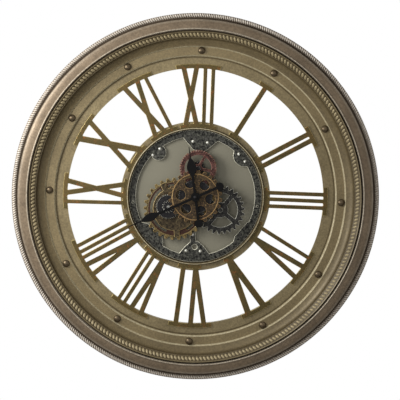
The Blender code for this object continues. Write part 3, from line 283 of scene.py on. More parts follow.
# Inner band: a spun steel ring, L-shaped in section, that forms the wall of the dial's opening and the flat
# band on which the numerals' outer serifs lie. Sprayed champagne gold and wiped with a thin brown glaze.
BAND_INNER = 0.2095
BAND_OUTER = 0.2440
BAND_BACK = 0.0063
BAND_FRONT = 0.0280
BAND_DRAFT = 0.0018
SHEET_METAL = 0.0016
CHAMPAGNE = tint(122, 109, 80)
CHAMPAGNE_GLAZE = tint(62, 51, 30)
CHAMPAGNE_RUBBED = tint(196, 186, 156)
FLECK_LOW = 0.36
FLECK_HIGH = 0.64
STAIN_START = 0.35
STAIN_FULL = 0.75
STAIN_DEPTH = 0.45
PLAIN_PAINT = 0.5
SPECK_SCALE = 420.0
RUBBING_GAIN = 1.7
PAINT_GRAIN = 330.0
PAINT_FLECK = 0.22
GLOSSIER = 0.1
PAINT_DULLER = 0.16
PAINT_SHINE = 0.3
PAINT_RELIEF = 0.12
BUMP_DEPTH = 0.0004


def flecked(finish, colour, place, scale, depth):
    """Lighten and darken a colour in fine grains, by up to depth either way."""
    grains = wire(
        finish, "ShaderNodeTexNoise", {"Vector": place, "Scale": scale, "Detail": 4.0, "Roughness": 0.7}
    )
    level = wire(
        finish,
        "ShaderNodeMapRange",
        {
            "Value": grains.outputs["Fac"],
            "From Min": FLECK_LOW,
            "From Max": FLECK_HIGH,
            "To Min": 1.0 - depth,
            "To Max": 1.0 + depth,
        },
    )
    mixed = wire(
        finish, "ShaderNodeVectorMath", {0: colour, 1: level.outputs["Result"]}, operation="MULTIPLY"
    )
    return mixed.outputs["Vector"]


def aged_finish(name, body, glaze, rubbed, bands, metal=0.45, rough=0.42, mottle=16.0):
    """Metallic paint under a wiped dark glaze. Each band is a radius on the dial and how the paint lies
    there: 0 is full glaze, 0.5 plain paint and 1 rubbed back to bright. In the cove the glaze is partly
    painted shade, and the bright steps are partly painted highlight."""
    finish = bpy.data.materials.new(name)
    finish.use_nodes = True
    place = wire(finish, "ShaderNodeTexCoord").outputs["Object"]
    centred = wire(finish, "ShaderNodeMapping", {"Vector": place, "Location": -dial}).outputs["Vector"]
    flat = wire(finish, "ShaderNodeVectorMath", {0: centred, 1: (1.0, 0.0, 1.0)}, operation="MULTIPLY")
    reach = wire(finish, "ShaderNodeVectorMath", {0: flat.outputs["Vector"]}, operation="LENGTH")
    inner = min(band[0] for band in bands)
    outer = max(band[0] for band in bands)
    along = wire(
        finish, "ShaderNodeMapRange", {"Value": reach.outputs["Value"], "From Min": inner, "From Max": outer}
    )
    profile = wire(finish, "ShaderNodeValToRGB", {"Fac": along.outputs["Result"]})
    stops = profile.color_ramp.elements
    while len(stops) < len(bands):
        stops.new(0.5)
    for stop, (radius, wear) in zip(stops, sorted(bands)):
        stop.position = (radius - inner) / (outer - inner)
        stop.color = (wear, wear, wear, 1.0)
    cloud = wire(
        finish, "ShaderNodeTexNoise", {"Vector": place, "Scale": mottle, "Detail": 5.0, "Roughness": 0.62}
    )
    stain = wire(
        finish,
        "ShaderNodeMapRange",
        {
            "Value": cloud.outputs["Fac"],
            "From Min": STAIN_START,
            "From Max": STAIN_FULL,
            "To Max": STAIN_DEPTH,
        },
    )
    stained = wire(
        finish, "ShaderNodeMixRGB", {"Fac": stain.outputs["Result"], "Color1": body, "Color2": glaze}
    )
    settled = wire(
        finish,
        "ShaderNodeMapRange",
        {"Value": profile.outputs["Color"], "From Min": PLAIN_PAINT, "From Max": 0.0},
    )
    glazed = wire(
        finish,
        "ShaderNodeMixRGB",
        {"Fac": settled.outputs["Result"], "Color1": stained.outputs["Color"], "Color2": glaze},
    )
    speck = wire(finish, "ShaderNodeTexNoise", {"Vector": place, "Scale": SPECK_SCALE, "Detail": 2.0})
    bare = wire(
        finish,
        "ShaderNodeMapRange",
        {"Value": profile.outputs["Color"], "From Min": PLAIN_PAINT, "From Max": 1.0},
    )
    broken = wire(
        finish, "ShaderNodeMath", {0: bare.outputs["Result"], 1: speck.outputs["Fac"]}, operation="MULTIPLY"
    )
    stronger = wire(
        finish,
        "ShaderNodeMath",
        {0: broken.outputs["Value"], 1: RUBBING_GAIN},
        operation="MULTIPLY",
        use_clamp=True,
    )
    coloured = wire(
        finish,
        "ShaderNodeMixRGB",
        {"Fac": stronger.outputs["Value"], "Color1": glazed.outputs["Color"], "Color2": rubbed},
    )
    grained = flecked(finish, coloured.outputs["Color"], place, PAINT_GRAIN, PAINT_FLECK)
    gloss = wire(
        finish,
        "ShaderNodeMapRange",
        {"Value": cloud.outputs["Fac"], "To Min": rough - GLOSSIER, "To Max": rough + PAINT_DULLER},
    )
    return surfaced(
        finish, grained, gloss, speck.outputs["Fac"], PAINT_RELIEF, BUMP_DEPTH, metal, PAINT_SHINE
    )


band_section = [
    (BAND_INNER + BAND_DRAFT, BAND_BACK),
    (BAND_INNER, BAND_FRONT),
    (BAND_OUTER, BAND_FRONT),
    (BAND_OUTER, BAND_FRONT - SHEET_METAL),
    (BAND_INNER + SHEET_METAL, BAND_FRONT - SHEET_METAL),
    (BAND_INNER + BAND_DRAFT + SHEET_METAL, BAND_BACK),
]
inner_band = turned_ring("inner_band", band_section)
band_wear = [(0.2090, 0.85), (0.2103, 0.5), (0.2255, 0.5), (0.2277, 0.05), (0.2300, 0.0)]
band_paint = aged_finish("champagne_band_paint", CHAMPAGNE, CHAMPAGNE_GLAZE, CHAMPAGNE_RUBBED, band_wear)
inner_band.data.materials.append(band_paint)
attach(inner_band, "clock_body")
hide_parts("inner_band_ring")


# Dish and cove: one pressed ring in the band's paint. A leaning step leads to the flat dish, and a second one
# to the hollow cove that throws the deep shade inside the rim, where a dark glaze adds painted shade. Its
# flange lies under the rim's shelf.
DISH_INNER = 0.2280
DISH_STEP = 0.2312
COVE_STEP = 0.2443
DISH_OUTER = 0.2465
DISH_FRONT = 0.0332
COVE_LOW = 0.0372
COVE_HIGH = 0.0475
COVE_WIDTH = 0.0132
COVE_FULLNESS = 1.3
COVE_STEPS = 12
FLANGE_OUTER = 0.2655
HAIR_GAP = 0.0003


def cove_line(behind):
    """The cove's hollow curve from the dish's step to the shelf, moved back by what behind says."""
    line = []
    for step in range(COVE_STEPS + 1):
        angle = math.radians(90.0 * step / COVE_STEPS)
        radius = DISH_OUTER + behind / 2 + COVE_WIDTH * math.sin(angle) ** COVE_FULLNESS
        line.append((radius, COVE_LOW - behind + (COVE_HIGH - COVE_LOW) * (1.0 - math.cos(angle))))
    return line


cove_section = [(DISH_INNER, BAND_FRONT + HAIR_GAP), (DISH_STEP, DISH_FRONT), (COVE_STEP, DISH_FRONT)]
cove_section += cove_line(0.0)
cove_section += [(FLANGE_OUTER, COVE_HIGH), (FLANGE_OUTER, COVE_HIGH - SHEET_METAL)]
cove_section += reversed(cove_line(SHEET_METAL))
cove_section += [
    (DISH_OUTER + SHEET_METAL / 2, DISH_FRONT - SHEET_METAL),
    (DISH_STEP + SHEET_METAL, DISH_FRONT - SHEET_METAL / 2),
    (DISH_INNER + SHEET_METAL, BAND_FRONT + HAIR_GAP),
]
dish_and_cove = turned_ring("dish_and_cove", cove_section, edge=0.0004)
# The two steps are rubbed bright, partly wear and partly painted highlight, and the cove's hollow is glazed
# dark, partly glaze and partly painted shade.
cove_wear_and_painted_light = [
    (0.2278, 0.1),
    (0.2290, 0.6),
    (0.2296, 0.9),
    (0.2308, 0.95),
    (0.2316, 0.42),
    (0.2440, 0.42),
    (0.2447, 0.85),
    (0.2461, 0.9),
    (0.2470, 0.22),
    (0.2560, 0.28),
    (0.2598, 0.05),
]
cove_paint = aged_finish(
    "champagne_cove_paint_and_painted_light", tint(128, 113, 81), CHAMPAGNE_GLAZE, CHAMPAGNE_RUBBED, cove_wear_and_painted_light, metal=0.2
)
dish_and_cove.data.materials.append(cove_paint)
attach(dish_and_cove, "clock_body")
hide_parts("cove_ring")


# Dish rivets: twelve domed nails in dark oxidised bronze, one outside each numeral. Each is driven square
# into the flat dish, and a low straight edge shows round its foot.
RIVET_COUNT = 12
RIVET_RADIUS = 0.0060
RIVET_HEIGHT = 0.0044
RIVET_EDGE = 0.0006
RIVET_CIRCLE = 0.2391
DOME_SWEEP = 88.0
DOME_SMOOTH = math.radians(50)

rivet_bronze = aged_finish(
    "oxidised_rivet_bronze",
    tint(88, 76, 58),
    tint(44, 36, 26),
    tint(170, 156, 128),
    [(0.230, 0.5), (0.250, 0.5)],
    metal=0.8,
    rough=0.34,
    mottle=90.0,
)


def dome_button(name, place, radius, height, straight, sides=32, rings=7):
    """A round-headed button that faces the front: a straight edge, then a dome drawn in ring by ring."""
    bpy.ops.object.select_all(action="DESELECT")
    bpy.ops.mesh.primitive_circle_add(
        vertices=sides, radius=radius, fill_type="NGON", location=place, rotation=(math.pi / 2, 0.0, 0.0)
    )
    button = bpy.context.object
    button.name = name
    button.data.name = name
    bpy.ops.object.transform_apply(location=True, rotation=True, scale=True)
    bpy.ops.object.mode_set(mode="EDIT")
    bpy.ops.mesh.extrude_region_move(TRANSFORM_OT_translate={"value": (0.0, -straight, 0.0)})
    last_reach = 1.0
    last_rise = 0.0
    for ring in range(1, rings + 1):
        angle = math.radians(DOME_SWEEP * ring / rings)
        bpy.ops.mesh.extrude_region_move(
            TRANSFORM_OT_translate={"value": (0.0, -height * (math.sin(angle) - last_rise), 0.0)}
        )
        narrower = math.cos(angle) / last_reach
        bpy.ops.transform.resize(value=(narrower, 1.0, narrower), center_override=place)
        last_reach = math.cos(angle)
        last_rise = math.sin(angle)
    bpy.ops.mesh.select_all(action="SELECT")
    bpy.ops.mesh.normals_make_consistent(inside=False)
    bpy.ops.object.mode_set(mode="OBJECT")
    bpy.ops.object.shade_smooth_by_angle(angle=DOME_SMOOTH)
    return button


for number in range(RIVET_COUNT):
    foot = (dial.x, -DISH_FRONT, dial.z + RIVET_CIRCLE)
    rivet = dome_button(f"dish_rivet_{number + 1:02d}", foot, RIVET_RADIUS, RIVET_HEIGHT, RIVET_EDGE)
    bpy.ops.object.mode_set(mode="EDIT")
    bpy.ops.mesh.select_all(action="SELECT")
    bpy.ops.transform.rotate(value=-math.tau * number / RIVET_COUNT, orient_axis="Y", center_override=dial)
    bpy.ops.object.mode_set(mode="OBJECT")
    rivet.data.materials.append(rivet_bronze)
    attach(rivet, "clock_body")


# Outer rim: the large spun moulding, sprayed taupe silver. From the inside it has a shelf for the fine beads,
# a dark groove, a rounded crest and a broad full belly, and its skirt runs back to the wall.
RIM_INNER = 0.2603
SHELF_BACK = 0.0478
SHELF_FRONT = 0.0500
GROOVE_INNER = 0.2713
GROOVE_FLOOR = 0.0505
SHOULDER_FRONT = 0.0560
CREST_FOOT = 0.2722
CREST_INNER = 0.2741
CREST_OUTER = 0.2762
CREST_FRONT = 0.0580
CREST_STEPS = 8
BELLY_OUTER = 0.2908
BELLY_LOW = 0.0495
BELLY_FULLNESS = 0.7
BELLY_STEPS = 16
BEAD_SEAT = 0.0450
SKIRT_OUTER = 0.2988
SKIRT_INNER = 0.2963
SKIRT_BACK = 0.0030
RIM_WALL = 0.0036
TAUPE = tint(112, 97, 78)
TAUPE_GLAZE = tint(56, 44, 30)
TAUPE_RUBBED = tint(226, 214, 192)

crest = []
for step in range(CREST_STEPS + 1):
    angle = math.radians(180.0 * step / CREST_STEPS)
    middle = (CREST_INNER + CREST_OUTER) / 2
    radius = middle - (CREST_OUTER - CREST_INNER) / 2 * math.cos(angle)
    crest.append((radius, SHOULDER_FRONT + (CREST_FRONT - SHOULDER_FRONT) * math.sin(angle)))
belly = []
for step in range(1, BELLY_STEPS + 1):
    angle = math.radians(90.0 * step / BELLY_STEPS)
    radius = CREST_OUTER + (BELLY_OUTER - CREST_OUTER) * math.sin(angle) ** BELLY_FULLNESS
    fall = max(0.0, math.cos(angle)) ** BELLY_FULLNESS
    belly.append((radius, BELLY_LOW + (SHOULDER_FRONT - BELLY_LOW) * fall))
rim_section = [
    (RIM_INNER, SHELF_BACK),
    (RIM_INNER, SHELF_FRONT),
    (GROOVE_INNER, SHELF_FRONT),
    (GROOVE_INNER, GROOVE_FLOOR),
    (CREST_FOOT, GROOVE_FLOOR),
]
rim_section += crest + belly
rim_section += [
    (BELLY_OUTER, BEAD_SEAT),
    (SKIRT_OUTER, BEAD_SEAT),
    (SKIRT_OUTER, SKIRT_BACK),
    (SKIRT_INNER, SKIRT_BACK),
    (SKIRT_INNER, BEAD_SEAT - RIM_WALL),
    (BELLY_OUTER - RIM_WALL, BEAD_SEAT - RIM_WALL),
    (CREST_OUTER, GROOVE_FLOOR - RIM_WALL),
    (FLANGE_OUTER + HAIR_GAP, GROOVE_FLOOR - RIM_WALL),
    (FLANGE_OUTER + HAIR_GAP, SHELF_BACK),
]
outer_rim = turned_ring("outer_rim_moulding", rim_section, edge=0.0004)
rim_wear = [
    (0.2600, 0.2),
    (0.2712, 0.1),
    (0.2718, 0.0),
    (0.2722, 0.1),
    (0.2728, 0.66),
    (0.2745, 0.76),
    (0.2757, 0.7),
    (0.2768, 0.5),
    (0.2860, 0.5),
    (0.2898, 0.6),
    (0.2908, 0.0),
    (0.2925, 0.05),
    (0.2940, 0.4),
    (0.2990, 0.5),
]
rim_paint = aged_finish("taupe_rim_paint", TAUPE, TAUPE_GLAZE, TAUPE_RUBBED, rim_wear, metal=0.35, rough=0.44)
outer_rim.data.materials.append(rim_paint)
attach(outer_rim, "clock_body")
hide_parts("outer_rim")


# Bead trims: two strips of stamped metal. The inner one leans on the shelf, with a rail along each side and
# fine slanted beads between them, and the outer one is a plain row of beads on the rim's edge.
FINE_BEADS = 279
FINE_CIRCLE = 0.2650
FINE_WIDTH = 0.0089
FINE_LENGTH = 0.0046
FINE_HEIGHT = 0.0014
FINE_SEAT = 0.0537
FINE_LEAN = 34.4
EDGE_BEADS = 506
EDGE_CIRCLE = 0.2963
EDGE_WIDTH = 0.0073
EDGE_LENGTH = 0.0033
EDGE_HEIGHT = 0.0041
EDGE_SEAT = 0.0453
EDGE_BAND = 0.0009
BEAD_SLANT = 28.0
BEAD_SUNK = 0.2
BEAD_SIDES = 8
BEAD_RINGS = 6
BEAD_SMOOTH = math.radians(60)


def beaded_trim(name, count, circle, width, length, height, seat, lean, band, paints):
    """One slanted bead, flat at its foot and leaning inwards, carried round by a radial array over a band."""
    trim = turned_ring(name, band, edge=0.0002)
    trim.data.materials.append(paints[0])
    bpy.ops.object.select_all(action="DESELECT")
    bpy.ops.mesh.primitive_uv_sphere_add(
        segments=BEAD_SIDES, ring_count=BEAD_RINGS, radius=1.0, location=(0.0, 0.0, 0.0)
    )
    bead = bpy.context.object
    bead.data.materials.append(paints[1])
    bpy.ops.object.mode_set(mode="EDIT")
    bpy.ops.mesh.select_all(action="SELECT")
    bpy.ops.mesh.bisect(
        plane_co=(0.0, BEAD_SUNK, 0.0), plane_no=(0.0, 1.0, 0.0), clear_outer=True, use_fill=True
    )
    bpy.ops.mesh.select_all(action="SELECT")
    tall = height / (1.0 + BEAD_SUNK)
    bpy.ops.transform.resize(value=(length / 2, tall, width / 2), center_override=(0.0, 0.0, 0.0))
    bpy.ops.transform.rotate(value=math.radians(BEAD_SLANT), orient_axis="Y", center_override=(0.0, 0.0, 0.0))
    bpy.ops.transform.rotate(value=-math.radians(lean), orient_axis="X", center_override=(0.0, 0.0, 0.0))
    bpy.ops.transform.translate(value=(dial.x, -seat, dial.z + circle))
    bpy.ops.object.mode_set(mode="OBJECT")
    bpy.ops.object.shade_smooth_by_angle(angle=BEAD_SMOOTH)
    bpy.ops.object.empty_add()
    step = bpy.context.object
    step.matrix_world = (
        Matrix.Translation(dial) @ Matrix.Rotation(math.tau / count, 4, "Y") @ Matrix.Translation(-dial)
    )
    around = bead.modifiers.new("around_the_rim", "ARRAY")
    around.count = count
    around.use_relative_offset = False
    around.use_object_offset = True
    around.offset_object = step
    bpy.ops.object.select_all(action="DESELECT")
    bead.select_set(True)
    bpy.context.view_layer.objects.active = bead
    bpy.ops.object.modifier_apply(modifier=around.name)
    bpy.data.objects.remove(step)
    trim.select_set(True)
    bpy.context.view_layer.objects.active = trim
    bpy.ops.object.join()
    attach(trim, "clock_body")
    return trim


fine_band = [
    (0.2603, 0.0503),
    (0.2603, 0.0506),
    (0.2608, 0.0512),
    (0.2612, 0.0511),
    (0.2688, 0.0563),
    (0.2690, 0.0568),
    (0.2706, 0.0579),
    (0.2710, 0.0574),
    (0.2710, 0.0503),
]
fine_wear = [
    (0.2602, 0.3),
    (0.2609, 0.4),
    (0.2613, 0.05),
    (0.2686, 0.05),
    (0.2691, 0.3),
    (0.2706, 0.45),
    (0.2711, 0.1),
]
fine_band_paint = aged_finish(
    "rubbed_rail_paint", CHAMPAGNE, tint(58, 46, 26), tint(226, 210, 168), fine_wear, metal=0.15
)
fine_bead_paint = aged_finish(
    "rubbed_bead_paint",
    CHAMPAGNE,
    CHAMPAGNE_GLAZE,
    tint(226, 208, 164),
    [(0.2600, 0.6), (0.2700, 0.6)],
    metal=0.15,
)
fine_beads = beaded_trim(
    "rope_bead_trim",
    FINE_BEADS,
    FINE_CIRCLE,
    FINE_WIDTH,
    FINE_LENGTH,
    FINE_HEIGHT,
    FINE_SEAT,
    FINE_LEAN,
    fine_band,
    (fine_band_paint, fine_bead_paint),
)
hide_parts("rope_bead_ring")

edge_band = [
    (EDGE_CIRCLE - EDGE_WIDTH / 2, EDGE_SEAT),
    (EDGE_CIRCLE - EDGE_WIDTH / 2, EDGE_SEAT + EDGE_BAND),
    (EDGE_CIRCLE + EDGE_WIDTH / 2, EDGE_SEAT + EDGE_BAND),
    (EDGE_CIRCLE + EDGE_WIDTH / 2, EDGE_SEAT),
]
edge_band_paint = aged_finish(
    "edge_band_paint", TAUPE, TAUPE_GLAZE, TAUPE_RUBBED, [(0.2920, 0.2), (0.3000, 0.4)]
)
edge_bead_paint = aged_finish(
    "edge_bead_paint",
    tint(168, 158, 144),
    TAUPE,
    tint(226, 218, 206),
    [(0.2920, 0.7), (0.3000, 0.9)],
    metal=0.3,
)
edge_beads = beaded_trim(
    "edge_bead_trim",
    EDGE_BEADS,
    EDGE_CIRCLE,
    EDGE_WIDTH,
    EDGE_LENGTH,
    EDGE_HEIGHT,
    EDGE_SEAT + BEAD_SUNK * EDGE_HEIGHT / (1.0 + BEAD_SUNK),
    0.0,
    edge_band,
    (edge_band_paint, edge_bead_paint),
)
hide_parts("outer_bead_ring")


# Wall fittings: a zinc plated keyhole plate over the board's window, held by two screws, and two rubber pads
# that hold the frame off the wall lower down.
ZINC = tint(150, 152, 154)
ZINC_STAIN = tint(96, 98, 98)
ZINC_BLOOM = tint(176, 178, 176)
PATINA_START = 0.38
PATINA_FULL = 0.66
BLOOM_PLACE = (1.7, 0.4, -0.9)
BLOOM_FINER = 3.1
BLOOM_START = 0.56
BLOOM_FULL = 0.7
BLOOM_DEPTH = 0.85
METAL_GRAIN = 700.0
METAL_RELIEF = 0.15
METAL_DULLER = 0.18
SAME_SPOT = 0.00001
SAME_PLANE = math.radians(1.0)
SQUARE_ON = 0.999
CORNER_TURN = 25.0
CORNER_SEGMENTS = 3


def patina_finish(
    name, body, patina, bloom, metal, rough, patch=55.0, share=0.5, fleck=0.3, fleck_scale=460.0, shine=0.15
):
    """Old metal: a body colour, broad clouds of patina, small sharp blooms and a fine grain."""
    finish = bpy.data.materials.new(name)
    finish.use_nodes = True
    place = wire(finish, "ShaderNodeTexCoord").outputs["Object"]
    cloud = wire(
        finish, "ShaderNodeTexNoise", {"Vector": place, "Scale": patch, "Detail": 6.0, "Roughness": 0.65}
    )
    settled = wire(
        finish,
        "ShaderNodeMapRange",
        {"Value": cloud.outputs["Fac"], "From Min": PATINA_START, "From Max": PATINA_FULL, "To Max": share},
    )
    clouded = wire(
        finish, "ShaderNodeMixRGB", {"Fac": settled.outputs["Result"], "Color1": body, "Color2": patina}
    )
    moved = wire(finish, "ShaderNodeMapping", {"Vector": place, "Location": BLOOM_PLACE})
    spots = wire(
        finish,
        "ShaderNodeTexNoise",
        {"Vector": moved.outputs["Vector"], "Scale": patch * BLOOM_FINER, "Detail": 4.0, "Roughness": 0.7},
    )
    sharp = wire(
        finish,
        "ShaderNodeMapRange",
        {
            "Value": spots.outputs["Fac"],
            "From Min": BLOOM_START,
            "From Max": BLOOM_FULL,
            "To Max": BLOOM_DEPTH,
        },
    )
    bloomed = wire(
        finish,
        "ShaderNodeMixRGB",
        {"Fac": sharp.outputs["Result"], "Color1": clouded.outputs["Color"], "Color2": bloom},
    )
    grained = flecked(finish, bloomed.outputs["Color"], place, fleck_scale, fleck)
    fine = wire(finish, "ShaderNodeTexNoise", {"Vector": place, "Scale": METAL_GRAIN, "Detail": 3.0})
    gloss = wire(
        finish,
        "ShaderNodeMapRange",
        {"Value": cloud.outputs["Fac"], "To Min": rough - GLOSSIER, "To Max": rough + METAL_DULLER},
    )
    return surfaced(finish, grained, gloss, fine.outputs["Fac"], METAL_RELIEF, BUMP_DEPTH, metal, shine)


def rounded_corners(rounding, hollow):
    """Round the corners that run square through a flat piece: its hollow corners, or its outward ones."""
    bpy.ops.object.mode_set(mode="EDIT")
    bpy.ops.mesh.select_mode(type="EDGE")
    bpy.ops.mesh.select_all(action="DESELECT")
    corners = bmesh.from_edit_mesh(bpy.context.object.data)
    for edge in corners.edges:
        along = (edge.verts[1].co - edge.verts[0].co).normalized()
        if abs(along.y) > SQUARE_ON and edge.is_manifold:
            turned = math.degrees(edge.calc_face_angle_signed(0.0))
            edge.select_set(turned < -CORNER_TURN if hollow else turned > CORNER_TURN)
    bpy.ops.mesh.bevel(offset=rounding, segments=CORNER_SEGMENTS, clamp_overlap=True)
    bpy.ops.object.mode_set(mode="OBJECT")


def dressed(
    node, name, paints, edge, body="clock_body", hollow=0.0, outward=0.0, reshape=None, held_back=True
):
    """Stand a finished piece in a node's place: its faces made whole, its corners rounded and its edges
    eased. A second paint, on most pieces a painted highlight, goes on the eased edges. A reshaping step can
    change the form first. Edges that aren't held back are eased in full, over faces cut into triangles so
    that none crosses itself."""
    piece = bpy.data.objects.new(name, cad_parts[node].data.copy())
    piece.data.name = name
    piece.data.materials.clear()
    for paint in paints:
        piece.data.materials.append(paint)
    bpy.context.scene.collection.objects.link(piece)
    bpy.ops.object.select_all(action="DESELECT")
    piece.select_set(True)
    bpy.context.view_layer.objects.active = piece
    bpy.ops.object.mode_set(mode="EDIT")
    bpy.ops.mesh.select_all(action="SELECT")
    bpy.ops.mesh.remove_doubles(threshold=SAME_SPOT)
    bpy.ops.mesh.dissolve_limited(angle_limit=SAME_PLANE)
    bpy.ops.mesh.normals_make_consistent(inside=False)
    if not held_back:
        bpy.ops.mesh.select_mode(type="FACE")
        bpy.ops.mesh.select_all(action="DESELECT")
        for face in bmesh.from_edit_mesh(piece.data).faces:
            face.select_set(abs(face.normal.y) > SQUARE_ON and len(face.verts) > 4)
        bpy.ops.mesh.quads_convert_to_tris(quad_method="BEAUTY", ngon_method="BEAUTY")
    if reshape:
        reshape()
    bpy.ops.object.mode_set(mode="OBJECT")
    if hollow:
        rounded_corners(hollow, hollow=True)
    if outward:
        rounded_corners(outward, hollow=False)
    eased_edges(piece, edge, edge_highlight_slot=len(paints) - 1, held_back=held_back)
    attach(piece, body)
    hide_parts(node)
    return piece


zinc = patina_finish("zinc_plate", ZINC, ZINC_STAIN, ZINC_BLOOM, metal=0.85, rough=0.4, patch=140.0)
dressed("hanger_plate", "keyhole_hanger", [zinc], edge=0.0003)
dressed("hanger_screw_upper", "upper_hanger_screw", [zinc], edge=0.0003)
dressed("hanger_screw_lower", "lower_hanger_screw", [zinc], edge=0.0003)
rubber = plain_finish(
    "black_rubber", tint(30, 30, 31), rough=0.82, grain=1500.0, relief=0.25, variation=0.2
)
dressed("wall_pad_left", "left_wall_pad", [rubber], edge=0.0006)
dressed("wall_pad_right", "right_wall_pad", [rubber], edge=0.0006)


# Hub ring: the cup that holds the works, turned in steel. Its flange carries the numerals' inner serifs, its
# rolled lip stands round the gear plate, and a shelf behind holds the floor.
HUB_BORE = 0.1095
HUB_WALL_OUTER = 0.1130
HUB_LIP = 0.0335
LIP_RISE = 0.0010
LIP_STEPS = 8
HUB_FLANGE = 0.1224
HUB_SHELF = 0.1035
HUB_BACK = 0.0186
HUB_SEAT = 0.0202

hub_section = [
    (HUB_SHELF, HUB_BACK),
    (HUB_SHELF, HUB_SEAT),
    (HUB_BORE, HUB_SEAT),
    (HUB_BORE, HUB_LIP - LIP_RISE),
]
for step in range(1, LIP_STEPS):
    angle = math.radians(180.0 * step / LIP_STEPS)
    middle = (HUB_BORE + HUB_WALL_OUTER) / 2
    radius = middle - (HUB_WALL_OUTER - HUB_BORE) / 2 * math.cos(angle)
    hub_section.append((radius, HUB_LIP - LIP_RISE + LIP_RISE * math.sin(angle)))
hub_section += [
    (HUB_WALL_OUTER, HUB_LIP - LIP_RISE),
    (HUB_WALL_OUTER, BAND_FRONT),
    (HUB_FLANGE, BAND_FRONT),
    (HUB_FLANGE, BAND_FRONT - SHEET_METAL),
    (HUB_BORE + SHEET_METAL, BAND_FRONT - SHEET_METAL),
    (HUB_BORE + SHEET_METAL, HUB_BACK),
]
hub_ring = turned_ring("hub_cup_ring", hub_section, edge=0.0003)
hub_wear = [
    (0.1080, 0.3),
    (0.1100, 0.1),
    (0.1109, 0.2),
    (0.1112, 1.0),
    (0.1116, 0.9),
    (0.1120, 0.2),
    (0.1134, 0.05),
    (0.1142, 0.4),
    (0.1215, 0.5),
    (0.1226, 0.85),
]
hub_paint = aged_finish(
    "champagne_hub_paint", CHAMPAGNE, CHAMPAGNE_GLAZE, CHAMPAGNE_RUBBED, hub_wear, mottle=40.0
)
hub_ring.data.materials.append(hub_paint)
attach(hub_ring, "clock_body")
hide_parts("hub_ring")


# Hub floor: the plain round sheet behind the wheels, laid on the hub's shelf. It is sprayed a flat grey green
# that clouds a little and has a fine grain.
hub_floor_paint = plain_finish(
    "grey_green_floor_paint",
    tint(122, 118, 101),
    rough=0.6,
    grain=650.0,
    relief=0.3,
    variation=0.16,
    metal=0.15,
)
dressed("hub_floor", "hub_floor_disc", [hub_floor_paint], edge=0.0002)


# Gear plate: a sawn sheet of dark speckled slate finish in front of the floor, with lobes and a neck, its
# cut edges painted pale as a highlight. Ten round-headed screws hold it, two of them painted over, and a stud
# stands on its neck.
SLATE = tint(60, 60, 53)
SLATE_LIGHT = tint(110, 110, 100)
SLATE_VIOLET = tint(36, 33, 36)
PLATE_FRONT = 0.0264
SCREW_RADIUS = 0.0018
SCREW_HEIGHT = 0.0012
SCREW_EDGE = 0.0002
SCREW_LIFT = 0.0002
HEAD_REACH = 0.0032
HEAD_BEHIND = 0.0002
HEAD_SCALE = (0.6, 0.3, 0.6)
PLATE_EDGE = 0.1089
PLATE_SCREWS = (
    (0.0189, -5.1),
    (0.0189, 10.2),
    (0.0119, -39.3),
    (0.0119, -48.5),
    (0.0099, 43.4),
    (0.0099, 52.5),
    (0.0179, 172.6),
    (0.0179, 187.3),
    (0.0059, 97.0),
    (0.0059, 262.0),
)
BRIGHT_SCREWS = 8

slate = patina_finish(
    "speckled_slate",
    SLATE,
    SLATE_VIOLET,
    SLATE_LIGHT,
    rough=0.52,
    metal=0.2,
    patch=190.0,
    share=0.7,
    fleck=1.3,
    fleck_scale=260.0,
)
# Painted highlight: the plate's eased edges are painted pale in place of the light they catch.
plate_edge_highlight = patina_finish(
    "plate_edge_painted_highlight", tint(206, 202, 182), tint(150, 146, 126), tint(232, 228, 210), metal=0.3, rough=0.36
)


def screw_spot(inset, clock_angle):
    """Where a screw stands on the plate's front, from its distance inside the edge and its clock angle."""
    angle = math.radians(clock_angle)
    reach = PLATE_EDGE - inset
    return Vector((dial.x + reach * math.sin(angle), -PLATE_FRONT, dial.z + reach * math.cos(angle)))


def smaller_heads():
    """Draw in the coarse screw heads on the plate, so that they lie inside the round ones put over them."""
    bpy.ops.mesh.select_mode(type="VERT")
    for inset, clock_angle in PLATE_SCREWS:
        spot = screw_spot(inset, clock_angle)
        bpy.ops.mesh.select_all(action="DESELECT")
        plate = bmesh.from_edit_mesh(bpy.context.object.data)
        for corner in plate.verts:
            aside = (corner.co - spot).xz.length
            corner.select_set(aside < HEAD_REACH and corner.co.y < spot.y + HEAD_BEHIND)
        bpy.ops.transform.resize(value=HEAD_SCALE, center_override=spot)


dressed(
    "gear_plate",
    "sawn_gear_plate",
    [slate, plate_edge_highlight],
    edge=0.0007,
    reshape=smaller_heads,
    held_back=False,
)
screw_steel = patina_finish(
    "screw_steel",
    tint(222, 222, 214),
    tint(168, 166, 158),
    tint(244, 244, 238),
    metal=0.3,
    rough=0.24,
    patch=300.0,
)
for number, (inset, clock_angle) in enumerate(PLATE_SCREWS):
    spot = screw_spot(inset, clock_angle) - Vector((0.0, SCREW_LIFT, 0.0))
    screw = dome_button(
        f"plate_screw_{number + 1:02d}", spot, SCREW_RADIUS, SCREW_HEIGHT, SCREW_EDGE, sides=24, rings=5
    )
    screw.data.materials.append(screw_steel if number < BRIGHT_SCREWS else slate)
    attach(screw, "clock_body")
dressed("plate_stud", "neck_stud", [screw_steel], edge=0.0004)


# Numerals: Roman numerals sawn from 2 mm sheet steel in an old brass finish, with olive clouds and rust
# blooms. Their serifs bridge the band and the hub's flange, and every cut edge is painted pale as a
# highlight.
BRASS = tint(86, 70, 36)
BRASS_OLIVE = tint(58, 54, 27)
BRASS_RUST = tint(122, 74, 34)
HOURS = 12

old_brass = patina_finish(
    "old_brass_numerals",
    BRASS,
    BRASS_OLIVE,
    BRASS_RUST,
    metal=0.35,
    rough=0.46,
    patch=34.0,
    share=0.8,
    shine=0.25,
)
